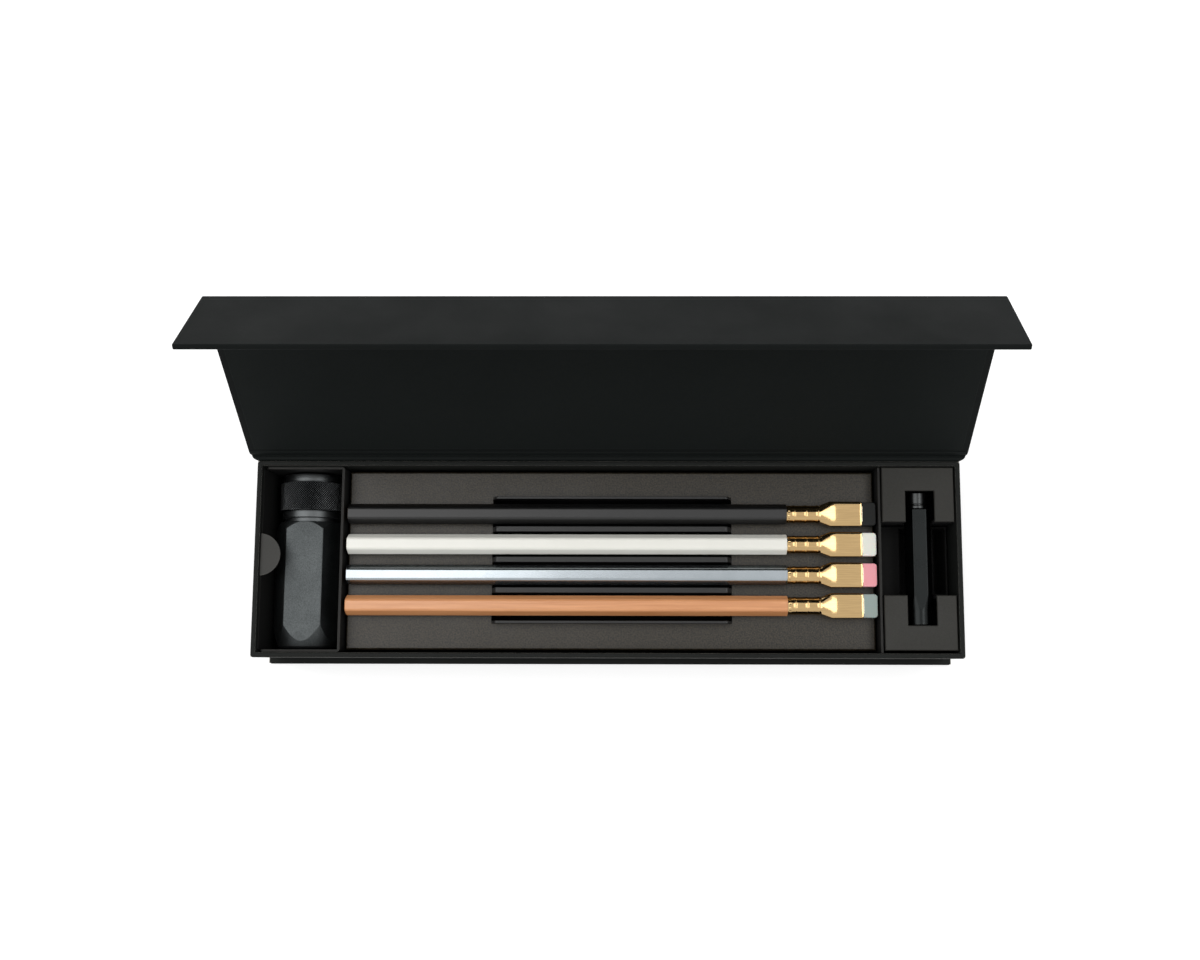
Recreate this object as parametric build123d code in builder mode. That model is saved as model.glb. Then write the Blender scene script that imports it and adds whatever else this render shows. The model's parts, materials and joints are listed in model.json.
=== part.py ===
"""A gift set of four pencils in a hinged, paper-covered box, with a sharpener and a point guard.

Millimetres. X runs along the pencils, Y towards the back of the box, +Z up. The origin is on the
underside, below the middle of the tray. The box is drawn open, as it stands on a table.
"""

from build123d import *
from math import cos, pi, radians, sin, sqrt
import os

os.makedirs("parts", exist_ok=True)

# Grey board and the black paper glued over it
board = 1.6
paper = 0.2
leaf = board + 2 * paper
card = 1.0

# The tray
tray_width = 268.8
tray_depth = 74.8
rim_height = 37.5

# The case that the tray is glued into: base, spine, lid and front flap
case_overhang = 2.6
front_lip = 2.4
spine_drop = 1.1
hinge_out = 1.0
hinge_rise = 0.4
hinge_gap = 2.6
hinge_play = 0.5
lid_length = 78.4
flap_length = 35.8
mitre_gap = 0.15
turn_in = 2.5
lid_angle = 55.2        # lid above the horizontal behind the box, as it stands open
flap_angle = 131.2      # flap, measured the same way

# Magnets in the flap and the steel discs they meet in the tray's front wall
disc_x = 80.0
disc_height = 14.0
magnet_diameter = 10.0
magnet_thickness = 1.0
plate_diameter = 12.0
plate_thickness = 0.6

# The card insert
divider_drop = 2.4
left_divider_x = -101.7
right_divider_x = 103.7
side_card = 0.4
platform_drop = 9.4
platform_left = -100.6
platform_right = 102.6
platform_half_depth = 34.4
rib_height = 4.8
rib_slope = 1.6
rib_round = 1.5
rib_left = -44.7
rib_right = 47.6
outer_rib_y = 23.8
tab_radius = 8.1
tab_y = 1.5
tab_card = 0.8
tab_drop = 1.5
tab_set_back = 0.5

# The point guard's end of the insert
block_drop = 1.0
block_left = 104.6
block_right = 132.0
back_block_y = (14.2, 35.2)
front_block_y = (-34.4, -13.6)
slot_width = 10.9
slot_ends = (-24.95, 26.1)
step_drop = 15.0
step_gap = 0.3
step_strip = 2.2

# Pencils, lying side by side with a flat uppermost
pencil_pitch = 11.7
pencil_flats = 7.1
pencil_start = -99.9
barrel_length = 168.3
barrel_edge_round = 1.5
barrel_end_chamfer = 0.4
tenon_diameter = 5.9
tenon_length = 11.0
lead_diameter = 2.2
pencils = ("black", "pearl", "grey", "natural")

# Ferrule: a crimped round tube that widens into a flat socket for the eraser
ferrule_wall = 0.3
ferrule_diameter = 6.5
ferrule_length = 28.7
bead_places = (2.8, 7.3, 11.8)
bead_rise = 0.25
bead_half = 0.7
flare_start = 12.8
flare_end = 18.2
flare_radius = 5.6
fan_end = 19.4
fan_radius = 2.3
plate_width = 9.6
plate_depth = 5.0
plate_round = 0.8
clip_sheet = 0.25
clip_lip = 0.5
eraser_proud = 5.5
eraser_width = 8.9
eraser_round = 1.2
eraser_inset = 1.5

# Sharpener, lying along Y with its mouth to the back
sharpener_x = -117.5
sharpener_flats = 24.8
sharpener_corner = 0.6
sharpener_mouth_y = 33.8
ring_one_end = 30.6
knurl_end = 19.6
ring_two_end = 16.6
shell_mouth_y = 15.1
shell_tail_y = -34.0
mouth_cone = 3.0
tail_cone = 6.3
tail_arc_y = -31.0
tail_rim = 0.8
collar_diameter = 25.4
ring_diameter = 23.4
ring_edge = 0.5
spigot_diameter = 20.5
spigot_end = 6.0
spigot_bore = 17.6
spigot_floor = 27.0
shell_bore = 20.6
shell_floor_y = -30.0
pencil_mouth = 8.6
cutter_diameter = 17.5
cutter_front = 26.9
cutter_back = -2.0
cone_mouth = 8.2
cone_tip = 1.4
cone_tip_y = 2.0
blade_length = 22.0
blade_width = 8.0
blade_thickness = 0.6
screw_head = 4.0
screw_head_height = 1.2
screw_shank = 2.0
screw_depth = 2.0

# Point guard, lying along Y with its mouth to the front
guard_x = 118.95
guard_flats = 9.0
guard_top_drop = 2.5
guard_mouth_y = -24.55
guard_hex_end_y = -12.8
guard_tip_y = -19.0
guard_shoulder_y = 19.6
guard_ring_y = 21.3
guard_end_y = 25.7
guard_mouth_diameter = 8.98
guard_bore = 7.96
guard_bore_depth = 38.0
guard_ring_diameter = 7.2
button_diameter = 6.8
button_round = 0.7
plug_diameter = 5.0
plug_depth = 4.0
sleeve_wall = 0.2
sleeve_start = 0.6
sleeve_length = 13.0
sleeve_slot = 1.2

touch = 0.05            # space left between a resting piece and what it rests on

# Levels and faces that follow from the sizes above
case_width = tray_width + 2 * case_overhang
wall_inside_x = tray_width / 2 - leaf
wall_inside_y = tray_depth / 2 - leaf
floor_top = leaf + board + paper
divider_top = rim_height - divider_drop
platform_top = rim_height - platform_drop
pencil_z = platform_top + pencil_flats / 2
hinge_y = tray_depth / 2 + hinge_out
hinge_z = rim_height + hinge_rise
sharpener_z = floor_top + collar_diameter / 2 + touch
guard_z = rim_height - guard_top_drop - guard_flats / 2


def hinged_point(origin, angle, along, inward):
    """The (y, z) of a point on a leaf: along it from `origin`, and off its face towards the inside."""
    slope = radians(angle)
    y = origin[0] + along * cos(slope) - inward * sin(slope)
    z = origin[1] + along * sin(slope) + inward * cos(slope)
    return y, z


def lid_point(along, inward):
    return hinged_point((hinge_y, hinge_z), lid_angle, along, inward)


def flap_point(along, inward):
    return hinged_point(lid_point(lid_length, -leaf), flap_angle, along, inward)


def leaf_plane(point, angle):
    """A plane on a leaf, with Y along it from the hinge and Z towards the inside of the box."""
    origin = point(0, 0)
    slope = radians(angle)
    return Plane(origin=(0, *origin), x_dir=(1, 0, 0), z_dir=(0, -sin(slope), cos(slope)))


def outline(points):
    """A face in the YZ plane through (y, z) points."""
    with BuildSketch(Plane.YZ) as face:
        with BuildLine():
            Polyline(*points, close=True)
        make_face()
    return face.sketch


def under_line(plane, steps):
    """A face between a turned profile, given as (along, radius) points, and its axis."""
    with BuildSketch(plane) as face:
        with BuildLine():
            Polyline((steps[0][0], 0), *steps, (steps[-1][0], 0), close=True)
        make_face()
    return face.sketch


lid_plane = leaf_plane(lid_point, lid_angle)
flap_plane = leaf_plane(flap_point, flap_angle)

# The case's base
base_front = -tray_depth / 2 - front_lip
base_back = tray_depth / 2 + board + paper
base_middle = (base_front + base_back) / 2
base_depth = base_back - base_front

with BuildPart() as base_board:
    with BuildSketch(Plane.XY.offset(paper)):
        with Locations((0, base_middle)):
            Rectangle(case_width - 2 * paper, base_depth - 2 * paper)
    extrude(amount=board)
base_board.part.label = "base_board"
export_step(base_board.part, "parts/base_board.step")

with BuildPart() as base_cover_paper:
    with BuildSketch():
        with Locations((0, base_middle)):
            Rectangle(case_width, base_depth)
    extrude(amount=leaf)
    with BuildSketch(Plane.XY.offset(paper)):
        with Locations((0, base_middle)):
            Rectangle(case_width - 2 * paper, base_depth - 2 * paper)
    extrude(amount=board, mode=Mode.SUBTRACT)
    with BuildSketch(Plane.XY.offset(paper + board)):
        Rectangle(tray_width - 12 * turn_in, tray_depth - 12 * turn_in)
    extrude(amount=paper, mode=Mode.SUBTRACT)
base_cover_paper.part.label = "base_cover_paper"
export_step(base_cover_paper.part, "parts/base_cover_paper.step")

# The spine, glued to the back of the tray
spine_top = rim_height - spine_drop

with BuildPart() as spine_board:
    with BuildSketch(Plane.XY.offset(leaf)):
        with Locations((0, tray_depth / 2 + board / 2)):
            Rectangle(tray_width, board)
    extrude(amount=spine_top - leaf)
spine_board.part.label = "spine_board"
export_step(spine_board.part, "parts/spine_board.step")

spine_paper_outline = (
    (tray_depth / 2 + board, leaf),
    (base_back, leaf),
    (base_back, spine_top + paper),
    (hinge_y + paper, spine_top + paper),
    (hinge_y + paper, hinge_z - hinge_play / 2),
    (hinge_y - paper, hinge_z - hinge_play / 2),
    (hinge_y - paper, spine_top + paper),
    (tray_depth / 2, spine_top + paper),
    (tray_depth / 2, spine_top),
    (tray_depth / 2 + board, spine_top),
)

with BuildPart() as spine_cover_paper:
    extrude(outline(spine_paper_outline), amount=tray_width / 2, both=True)
spine_cover_paper.part.label = "spine_cover_paper"
export_step(spine_cover_paper.part, "parts/spine_cover_paper.step")


def lid_mitre(inward, inset=0):
    """How far along the lid its mitred front edge lies at a depth, set in by `inset`."""
    return lid_length - mitre_gap - leaf - inward - inset * sqrt(2)


def flap_mitre(inward, inset=0):
    return mitre_gap + inward + inset * sqrt(2)


# The lid
lid_skin_outline = (
    lid_point(hinge_gap, 0),
    lid_point(hinge_gap, -leaf),
    lid_point(lid_mitre(-leaf), -leaf),
    lid_point(lid_mitre(0), 0),
)
lid_board_outline = (
    lid_point(hinge_gap + paper, -paper),
    lid_point(hinge_gap + paper, paper - leaf),
    lid_point(lid_mitre(paper - leaf, paper), paper - leaf),
    lid_point(lid_mitre(-paper, paper), -paper),
)
lid_hinge_outline = (
    lid_point(hinge_play, paper),
    lid_point(hinge_play, -paper),
    lid_point(hinge_gap + paper / 2, -paper),
    lid_point(hinge_gap + paper / 2, 0),
    lid_point(hinge_gap, paper),
)
lid_lining_start = hinge_gap + turn_in
lid_lining_length = lid_mitre(0) - turn_in - lid_lining_start
lid_lining_middle = lid_lining_start + lid_lining_length / 2

with BuildPart() as lid_board:
    extrude(outline(lid_board_outline), amount=case_width / 2 - paper, both=True)
lid_board.part.label = "lid_board"
export_step(lid_board.part, "parts/lid_board.step")

with BuildPart() as lid_cover_paper:
    extrude(outline(lid_skin_outline), amount=case_width / 2, both=True)
    extrude(outline(lid_hinge_outline), amount=tray_width / 2, both=True)
    extrude(outline(lid_board_outline), amount=case_width / 2 - paper, both=True, mode=Mode.SUBTRACT)
    with BuildSketch(lid_plane.offset(-paper)):
        with Locations((0, lid_lining_middle)):
            Rectangle(case_width - 2 * turn_in, lid_lining_length)
    extrude(amount=paper, mode=Mode.SUBTRACT)
lid_cover_paper.part.label = "lid_cover_paper"
export_step(lid_cover_paper.part, "parts/lid_cover_paper.step")

with BuildPart() as lid_lining_paper:
    with BuildSketch(lid_plane.offset(-paper)):
        with Locations((0, lid_lining_middle)):
            Rectangle(case_width - 2 * turn_in, lid_lining_length)
    extrude(amount=paper)
lid_lining_paper.part.label = "lid_lining_paper"
export_step(lid_lining_paper.part, "parts/lid_lining_paper.step")

# The front flap, hinged on the paper along the lid's front edge
flap_skin_outline = (
    flap_point(flap_mitre(0), 0),
    flap_point(flap_length, 0),
    flap_point(flap_length, leaf),
    flap_point(flap_mitre(leaf), leaf),
)
flap_board_outline = (
    flap_point(flap_mitre(paper, paper), paper),
    flap_point(flap_length - paper, paper),
    flap_point(flap_length - paper, leaf - paper),
    flap_point(flap_mitre(leaf - paper, paper), leaf - paper),
)
flap_lining_start = flap_mitre(leaf) + turn_in
flap_lining_length = flap_length - turn_in - flap_lining_start
flap_lining_middle = flap_lining_start + flap_lining_length / 2
closed_fold_height = hinge_z + leaf
magnet_along = closed_fold_height - disc_height
magnet_places = ((-disc_x, magnet_along), (disc_x, magnet_along))

with BuildPart() as flap_board:
    extrude(outline(flap_board_outline), amount=case_width / 2 - paper, both=True)
    with BuildSketch(flap_plane.offset(leaf - paper)):
        with Locations(*magnet_places):
            Circle(magnet_diameter / 2)
    extrude(amount=-magnet_thickness, mode=Mode.SUBTRACT)
flap_board.part.label = "flap_board"
export_step(flap_board.part, "parts/flap_board.step")

with BuildPart() as flap_cover_paper:
    extrude(outline(flap_skin_outline), amount=case_width / 2, both=True)
    extrude(outline(flap_board_outline), amount=case_width / 2 - paper, both=True, mode=Mode.SUBTRACT)
    with BuildSketch(flap_plane.offset(leaf - paper)):
        with Locations((0, flap_lining_middle)):
            Rectangle(case_width - 2 * turn_in, flap_lining_length)
    extrude(amount=paper, mode=Mode.SUBTRACT)
flap_cover_paper.part.label = "flap_cover_paper"
export_step(flap_cover_paper.part, "parts/flap_cover_paper.step")

with BuildPart() as flap_lining_paper:
    with BuildSketch(flap_plane.offset(leaf - paper)):
        with Locations((0, flap_lining_middle)):
            Rectangle(case_width - 2 * turn_in, flap_lining_length)
    extrude(amount=paper)
flap_lining_paper.part.label = "flap_lining_paper"
export_step(flap_lining_paper.part, "parts/flap_lining_paper.step")

with BuildPart() as flap_magnets:
    with BuildSketch(flap_plane.offset(leaf - paper)):
        with Locations(*magnet_places):
            Circle(magnet_diameter / 2)
    extrude(amount=-magnet_thickness)
flap_magnets.part.label = "flap_magnets"
export_step(flap_magnets.part, "parts/flap_magnets.step")

# The tray: a floor and four walls of board, covered inside and out
wall_height = rim_height - paper - leaf
wall_middle_x = tray_width / 2 - paper - board / 2
wall_middle_y = tray_depth / 2 - paper - board / 2
floor_width = 2 * (wall_middle_x - board / 2)
floor_depth = 2 * (wall_middle_y - board / 2)
front_board_face = Plane(
    origin=(0, -tray_depth / 2 + paper, 0), x_dir=(1, 0, 0), z_dir=(0, -1, 0)
)

with BuildPart() as tray_floor:
    with BuildSketch(Plane.XY.offset(leaf)):
        Rectangle(floor_width, floor_depth)
    extrude(amount=board)
tray_floor.part.label = "tray_floor"
export_step(tray_floor.part, "parts/tray_floor.step")

with BuildPart() as tray_front_wall:
    with BuildSketch(Plane.XY.offset(leaf)):
        with Locations((0, -wall_middle_y)):
            Rectangle(tray_width - 2 * paper, board)
    extrude(amount=wall_height)
    with BuildSketch(front_board_face):
        with Locations((-disc_x, disc_height), (disc_x, disc_height)):
            Circle(plate_diameter / 2)
    extrude(amount=-plate_thickness, mode=Mode.SUBTRACT)
tray_front_wall.part.label = "tray_front_wall"
export_step(tray_front_wall.part, "parts/tray_front_wall.step")

with BuildPart() as catch_plates:
    with BuildSketch(front_board_face):
        with Locations((-disc_x, disc_height), (disc_x, disc_height)):
            Circle(plate_diameter / 2)
    extrude(amount=-plate_thickness)
catch_plates.part.label = "catch_plates"
export_step(catch_plates.part, "parts/catch_plates.step")

with BuildPart() as tray_back_wall:
    with BuildSketch(Plane.XY.offset(leaf)):
        with Locations((0, wall_middle_y)):
            Rectangle(tray_width - 2 * paper, board)
    extrude(amount=wall_height)
tray_back_wall.part.label = "tray_back_wall"
export_step(tray_back_wall.part, "parts/tray_back_wall.step")

for side, place in (("left", -wall_middle_x), ("right", wall_middle_x)):
    with BuildPart() as tray_side_wall:
        with BuildSketch(Plane.XY.offset(leaf)):
            with Locations((place, 0)):
                Rectangle(board, floor_depth)
        extrude(amount=wall_height)
    tray_side_wall.part.label = f"tray_{side}_wall"
    export_step(tray_side_wall.part, f"parts/tray_{side}_wall.step")

with BuildPart() as tray_cover_paper:
    with BuildSketch(Plane.XY.offset(leaf)):
        Rectangle(tray_width, tray_depth)
        Rectangle(2 * wall_inside_x, 2 * wall_inside_y, mode=Mode.SUBTRACT)
    extrude(amount=rim_height - leaf)
    with BuildSketch(Plane.XY.offset(leaf)):
        Rectangle(tray_width - 2 * paper, tray_depth - 2 * paper)
        Rectangle(floor_width, floor_depth, mode=Mode.SUBTRACT)
    extrude(amount=wall_height, mode=Mode.SUBTRACT)
    with BuildSketch(Plane.XY.offset(leaf)):
        Rectangle(floor_width, floor_depth)
    extrude(amount=board, mode=Mode.SUBTRACT)
tray_cover_paper.part.label = "tray_cover_paper"
export_step(tray_cover_paper.part, "parts/tray_cover_paper.step")

with BuildPart() as tray_floor_lining:
    with BuildSketch(Plane.XY.offset(leaf + board)):
        Rectangle(2 * wall_inside_x, 2 * wall_inside_y)
    extrude(amount=paper)
tray_floor_lining.part.label = "tray_floor_lining"
export_step(tray_floor_lining.part, "parts/tray_floor_lining.step")

# The raised platform under the pencils. Doors cut in it stand up as ribs between them
platform_width = platform_right - platform_left
platform_middle = (platform_left + platform_right) / 2
rib_length = rib_right - rib_left
rib_middle = (rib_left + rib_right) / 2
rib_rows = (
    (-outer_rib_y, card),
    (-pencil_pitch, 2 * card),
    (0, 2 * card),
    (pencil_pitch, 2 * card),
    (outer_rib_y, card),
)
window_rows = [
    (near + near_card / 2, far - far_card / 2)
    for (near, near_card), (far, far_card) in zip(rib_rows, rib_rows[1:])
]

with BuildPart() as pencil_platform:
    with BuildSketch(Plane.XY.offset(floor_top)):
        with Locations((platform_middle, 0)):
            Rectangle(platform_width, 2 * platform_half_depth)
    extrude(amount=platform_top - floor_top)
    with BuildSketch(Plane.XY.offset(floor_top)):
        with Locations((platform_middle, 0)):
            Rectangle(platform_width - 2 * card, 2 * (platform_half_depth - card))
    extrude(amount=platform_top - floor_top - card, mode=Mode.SUBTRACT)
    with BuildSketch(Plane.XY.offset(platform_top)):
        for near, far in window_rows:
            with Locations((rib_middle, (near + far) / 2)):
                Rectangle(rib_length, far - near)
    extrude(amount=-card, mode=Mode.SUBTRACT)
    for rib_y, rib_card in rib_rows:
        with BuildSketch(Plane.XZ.offset(-rib_y)):
            with BuildLine():
                Polyline(
                    (rib_left, platform_top - card),
                    (rib_right, platform_top - card),
                    (rib_right, platform_top),
                    (rib_right - rib_slope, platform_top + rib_height),
                    (rib_left + rib_slope, platform_top + rib_height),
                    (rib_left, platform_top),
                    close=True,
                )
            rib_face = make_face()
            fillet(rib_face.vertices().group_by(Axis.Y)[-1], radius=rib_round)
        extrude(amount=rib_card / 2, both=True)
pencil_platform.part.label = "pencil_platform"
export_step(pencil_platform.part, "parts/pencil_platform.step")

# A card folded round the sharpener's bay: its web divides the bay from the pencils
bay_left = -wall_inside_x + side_card + card / 2
bay_right = left_divider_x - card / 2

with BuildPart() as sharpener_bay_card:
    with BuildSketch(Plane.XY.offset(floor_top)):
        with Locations((left_divider_x, 0)):
            Rectangle(card, 2 * wall_inside_y)
        for end in (-1, 1):
            with Locations(((bay_left + bay_right) / 2, end * (wall_inside_y - card / 2))):
                Rectangle(bay_right - bay_left, card)
    extrude(amount=divider_top - floor_top)
sharpener_bay_card.part.label = "sharpener_bay_card"
export_step(sharpener_bay_card.part, "parts/sharpener_bay_card.step")

with BuildPart() as right_divider:
    with BuildSketch(Plane.XY.offset(floor_top)):
        with Locations((right_divider_x, 0)):
            Rectangle(card, 2 * wall_inside_y)
    extrude(amount=divider_top - floor_top)
right_divider.part.label = "right_divider"
export_step(right_divider.part, "parts/right_divider.step")

# The half-round tab over the sharpener, creased along a card on the left wall
tab_top = rim_height - tab_drop
tab_root_x = -wall_inside_x + touch

with BuildPart() as bay_side_card:
    with BuildSketch(Plane.XY.offset(floor_top)):
        with Locations((-wall_inside_x + side_card / 2, 0)):
            Rectangle(side_card, 2 * (wall_inside_y - card))
    extrude(amount=tab_top - tab_card - floor_top)
bay_side_card.part.label = "bay_side_card"
export_step(bay_side_card.part, "parts/bay_side_card.step")

with BuildPart() as lift_tab:
    with BuildSketch(Plane.XY.offset(tab_top)):
        with Locations((tab_root_x - tab_set_back, tab_y)):
            Circle(tab_radius)
        with Locations((tab_root_x - tab_radius, tab_y)):
            Rectangle(2 * tab_radius, 2 * tab_radius, mode=Mode.SUBTRACT)
    extrude(amount=-tab_card)
lift_tab.part.label = "lift_tab"
export_step(lift_tab.part, "parts/lift_tab.step")

# Two slotted card blocks that hold the ends of the point guard, and the low step between them
block_top = rim_height - block_drop
block_width = block_right - block_left
block_middle = (block_left + block_right) / 2
slot_middle = sum(slot_ends) / 2
slot_length = slot_ends[1] - slot_ends[0]
guard_seat = guard_z - guard_flats / 2 - touch

for name, (near, far) in (("back", back_block_y), ("front", front_block_y)):
    with BuildPart() as guard_block:
        with BuildSketch(Plane.XY.offset(floor_top)):
            with Locations((block_middle, (near + far) / 2)):
                Rectangle(block_width, far - near)
        extrude(amount=block_top - floor_top)
        with BuildSketch(Plane.XY.offset(floor_top)):
            with Locations((block_middle, (near + far) / 2)):
                Rectangle(block_width - 2 * card, far - near - 2 * card)
        extrude(amount=block_top - floor_top - card, mode=Mode.SUBTRACT)
        with BuildSketch(Plane.XY.offset(block_top)):
            with Locations((guard_x, slot_middle)):
                Rectangle(slot_width, slot_length)
        extrude(amount=guard_seat - block_top, mode=Mode.SUBTRACT)
    guard_block.part.label = f"guard_block_{name}"
    export_step(guard_block.part, f"parts/guard_block_{name}.step")

step_top = rim_height - step_drop
step_front = front_block_y[1] + step_gap
step_back = back_block_y[0] - step_gap

step_middle = (step_front + step_back) / 2
step_depth = step_back - step_front
finger_hole_left = guard_x + slot_width / 2 + step_strip

with BuildPart() as guard_step_card:
    with BuildSketch(Plane.XY.offset(floor_top)):
        with Locations((block_middle, step_middle)):
            Rectangle(block_width, step_depth)
    extrude(amount=step_top - floor_top)
    with BuildSketch(Plane.XY.offset(floor_top)):
        with Locations((block_middle, step_middle)):
            Rectangle(block_width - 2 * card, step_depth - 2 * card)
    extrude(amount=step_top - floor_top - card, mode=Mode.SUBTRACT)
    with BuildSketch(Plane.XY.offset(step_top)):
        with Locations((guard_x, step_middle)):
            Rectangle(slot_width, step_depth - 2 * card)
        with Locations(((finger_hole_left + block_right - card) / 2, step_middle)):
            Rectangle(block_right - card - finger_hole_left, step_depth - 2 * card)
    extrude(amount=-card, mode=Mode.SUBTRACT)
guard_step_card.part.label = "guard_step_card"
export_step(guard_step_card.part, "parts/guard_step_card.step")


# The pencils, made in the middle of the box and then laid in their rows
barrel_end = pencil_start + barrel_length
ferrule_end = barrel_end + ferrule_length
eraser_end = ferrule_end + eraser_proud
eraser_start = barrel_end + flare_end + eraser_inset
eraser_depth = plate_depth - 2 * (ferrule_wall + clip_sheet)
pencil_middle = (0, pencil_z)
pencil_axis = Axis((0, 0, pencil_z), (1, 0, 0))
ferrule_plane = Plane(origin=(barrel_end, 0, pencil_z), x_dir=(1, 0, 0), z_dir=(0, -1, 0))


def bead_line(length):
    """The crimped tube's (along, radius) points: low beads rolled round it."""
    radius = ferrule_diameter / 2
    points = [(0, radius)]
    for place in bead_places:
        points.append((place - bead_half, radius))
        points.append((place - bead_half / 2, radius + bead_rise))
        points.append((place + bead_half / 2, radius + bead_rise))
        points.append((place + bead_half, radius))
    points.append((length, radius))
    return points


def flattened_end(inset, corner):
    """The tube's far end, its faces set in by `inset`: a widening cone pressed flat to take the eraser."""
    tube = ferrule_diameter / 2 - inset
    width = plate_width - 2 * inset
    depth = plate_depth - 2 * inset
    wide_cone = ((flare_start, tube), (flare_end, flare_radius), (ferrule_length, flare_radius))
    narrow_cone = ((flare_start, tube), (fan_end, fan_radius - inset))
    with BuildPart() as bar:
        with BuildSketch(Plane.YZ.offset(barrel_end + flare_start)):
            with Locations(pencil_middle):
                RectangleRounded(width, depth, corner)
        extrude(amount=ferrule_length - flare_start)
        revolve(under_line(ferrule_plane, wide_cone), axis=pencil_axis, mode=Mode.INTERSECT)
        revolve(under_line(ferrule_plane, narrow_cone), axis=pencil_axis)
    return bar.part


with BuildPart() as barrel:
    with BuildSketch(Plane.YZ.offset(pencil_start)):
        with Locations(pencil_middle):
            RegularPolygon(pencil_flats / 2, 6, major_radius=False)
    extrude(amount=barrel_length)
    fillet(barrel.edges().filter_by(Axis.X), radius=barrel_edge_round)
    chamfer(barrel.faces().sort_by(Axis.X)[0].edges(), length=barrel_end_chamfer)
    with BuildSketch(Plane.YZ.offset(barrel_end)):
        with Locations(pencil_middle):
            Circle(tenon_diameter / 2)
    extrude(amount=tenon_length)
    with BuildSketch(Plane.YZ.offset(pencil_start)):
        with Locations(pencil_middle):
            Circle(lead_diameter / 2)
    extrude(amount=barrel_length + tenon_length, mode=Mode.SUBTRACT)

with BuildPart() as lead:
    with BuildSketch(Plane.YZ.offset(pencil_start)):
        with Locations(pencil_middle):
            Circle(lead_diameter / 2)
    extrude(amount=barrel_length + tenon_length)

ferrule_outside = flattened_end(0, plate_round)
ferrule_inside = flattened_end(ferrule_wall, plate_round / 2)

with BuildPart() as ferrule:
    revolve(under_line(ferrule_plane, bead_line(flare_start)), axis=pencil_axis)
    add(ferrule_outside)
    add(ferrule_inside, mode=Mode.SUBTRACT)
    with BuildSketch(Plane.YZ.offset(barrel_end)):
        with Locations(pencil_middle):
            Circle(tenon_diameter / 2)
    extrude(amount=flare_start, mode=Mode.SUBTRACT)

with BuildPart() as clip:
    with BuildSketch(Plane.YZ.offset(eraser_start - clip_sheet)):
        with Locations(pencil_middle):
            Rectangle(eraser_width - 2 * clip_lip, eraser_depth + 2 * clip_sheet)
    extrude(amount=ferrule_end + clip_lip + clip_sheet - eraser_start)
    with BuildSketch(Plane.YZ.offset(eraser_start)):
        with Locations(pencil_middle):
            Rectangle(eraser_width, eraser_depth)
    extrude(amount=ferrule_length, mode=Mode.SUBTRACT)

with BuildPart() as eraser:
    with BuildSketch(Plane.YZ.offset(eraser_start)):
        with Locations(pencil_middle):
            Rectangle(eraser_width, eraser_depth)
    extrude(amount=eraser_end - eraser_start)
    fillet(eraser.edges().filter_by(Axis.Z).group_by(Axis.X)[-1], radius=eraser_round)

pencil_pieces = {
    "barrel": barrel,
    "lead": lead,
    "ferrule": ferrule,
    "clip": clip,
    "eraser": eraser,
}

for row, name in enumerate(pencils):
    row_y = (1.5 - row) * pencil_pitch
    for kind, made in pencil_pieces.items():
        piece = Pos(0, row_y, 0) * made.part
        piece.label = f"{name}_{kind}"
        export_step(piece, f"parts/{name}_{kind}.step")


# The sharpener
def along_y(x, z):
    """A plane with X along Y and Y up, for profiles turned about a line through (x, z)."""
    return Plane(origin=(x, 0, z), x_dir=(0, 1, 0), z_dir=(1, 0, 0))


sharpener_plane = along_y(sharpener_x, sharpener_z)
sharpener_axis = Axis((sharpener_x, 0, sharpener_z), (0, 1, 0))
flat_radius = sharpener_flats / 2
corner_radius = flat_radius / cos(pi / 6)
tail_slope = (corner_radius - flat_radius) / tail_cone
tail_radius = flat_radius - tail_slope * (tail_arc_y - shell_tail_y)
shell_envelope = (
    (shell_tail_y, tail_radius - tail_rim),
    (shell_tail_y + tail_rim, tail_radius + tail_slope * tail_rim),
    (tail_arc_y + tail_cone, corner_radius),
    (shell_mouth_y - mouth_cone, corner_radius),
    (shell_mouth_y, flat_radius),
)

with BuildPart() as sharpener_shell:
    with BuildSketch(Plane.XZ.offset(-shell_mouth_y)):
        with Locations((sharpener_x, sharpener_z)):
            RegularPolygon(flat_radius, 6, major_radius=False)
    extrude(amount=shell_mouth_y - shell_tail_y)
    fillet(sharpener_shell.edges().filter_by(Axis.Y), radius=sharpener_corner)
    revolve(under_line(sharpener_plane, shell_envelope), axis=sharpener_axis, mode=Mode.INTERSECT)
    with BuildSketch(Plane.XZ.offset(-shell_mouth_y)):
        with Locations((sharpener_x, sharpener_z)):
            Circle(shell_bore / 2)
    extrude(amount=shell_mouth_y - shell_floor_y, mode=Mode.SUBTRACT)
sharpener_shell.part.label = "sharpener_shell"
export_step(sharpener_shell.part, "parts/sharpener_shell.step")

collar_steps = (
    (spigot_end, spigot_diameter / 2),
    (shell_mouth_y + 2 * touch, spigot_diameter / 2),
    (shell_mouth_y + 2 * touch, spigot_diameter / 2 + ring_edge),
    (ring_two_end, spigot_diameter / 2 + ring_edge),
    (ring_two_end, ring_diameter / 2),
    (knurl_end - ring_edge, ring_diameter / 2),
    (knurl_end, collar_diameter / 2),
    (ring_one_end, collar_diameter / 2),
    (ring_one_end + ring_edge, ring_diameter / 2),
    (sharpener_mouth_y - ring_edge, ring_diameter / 2),
    (sharpener_mouth_y, ring_diameter / 2 - ring_edge),
)

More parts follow.
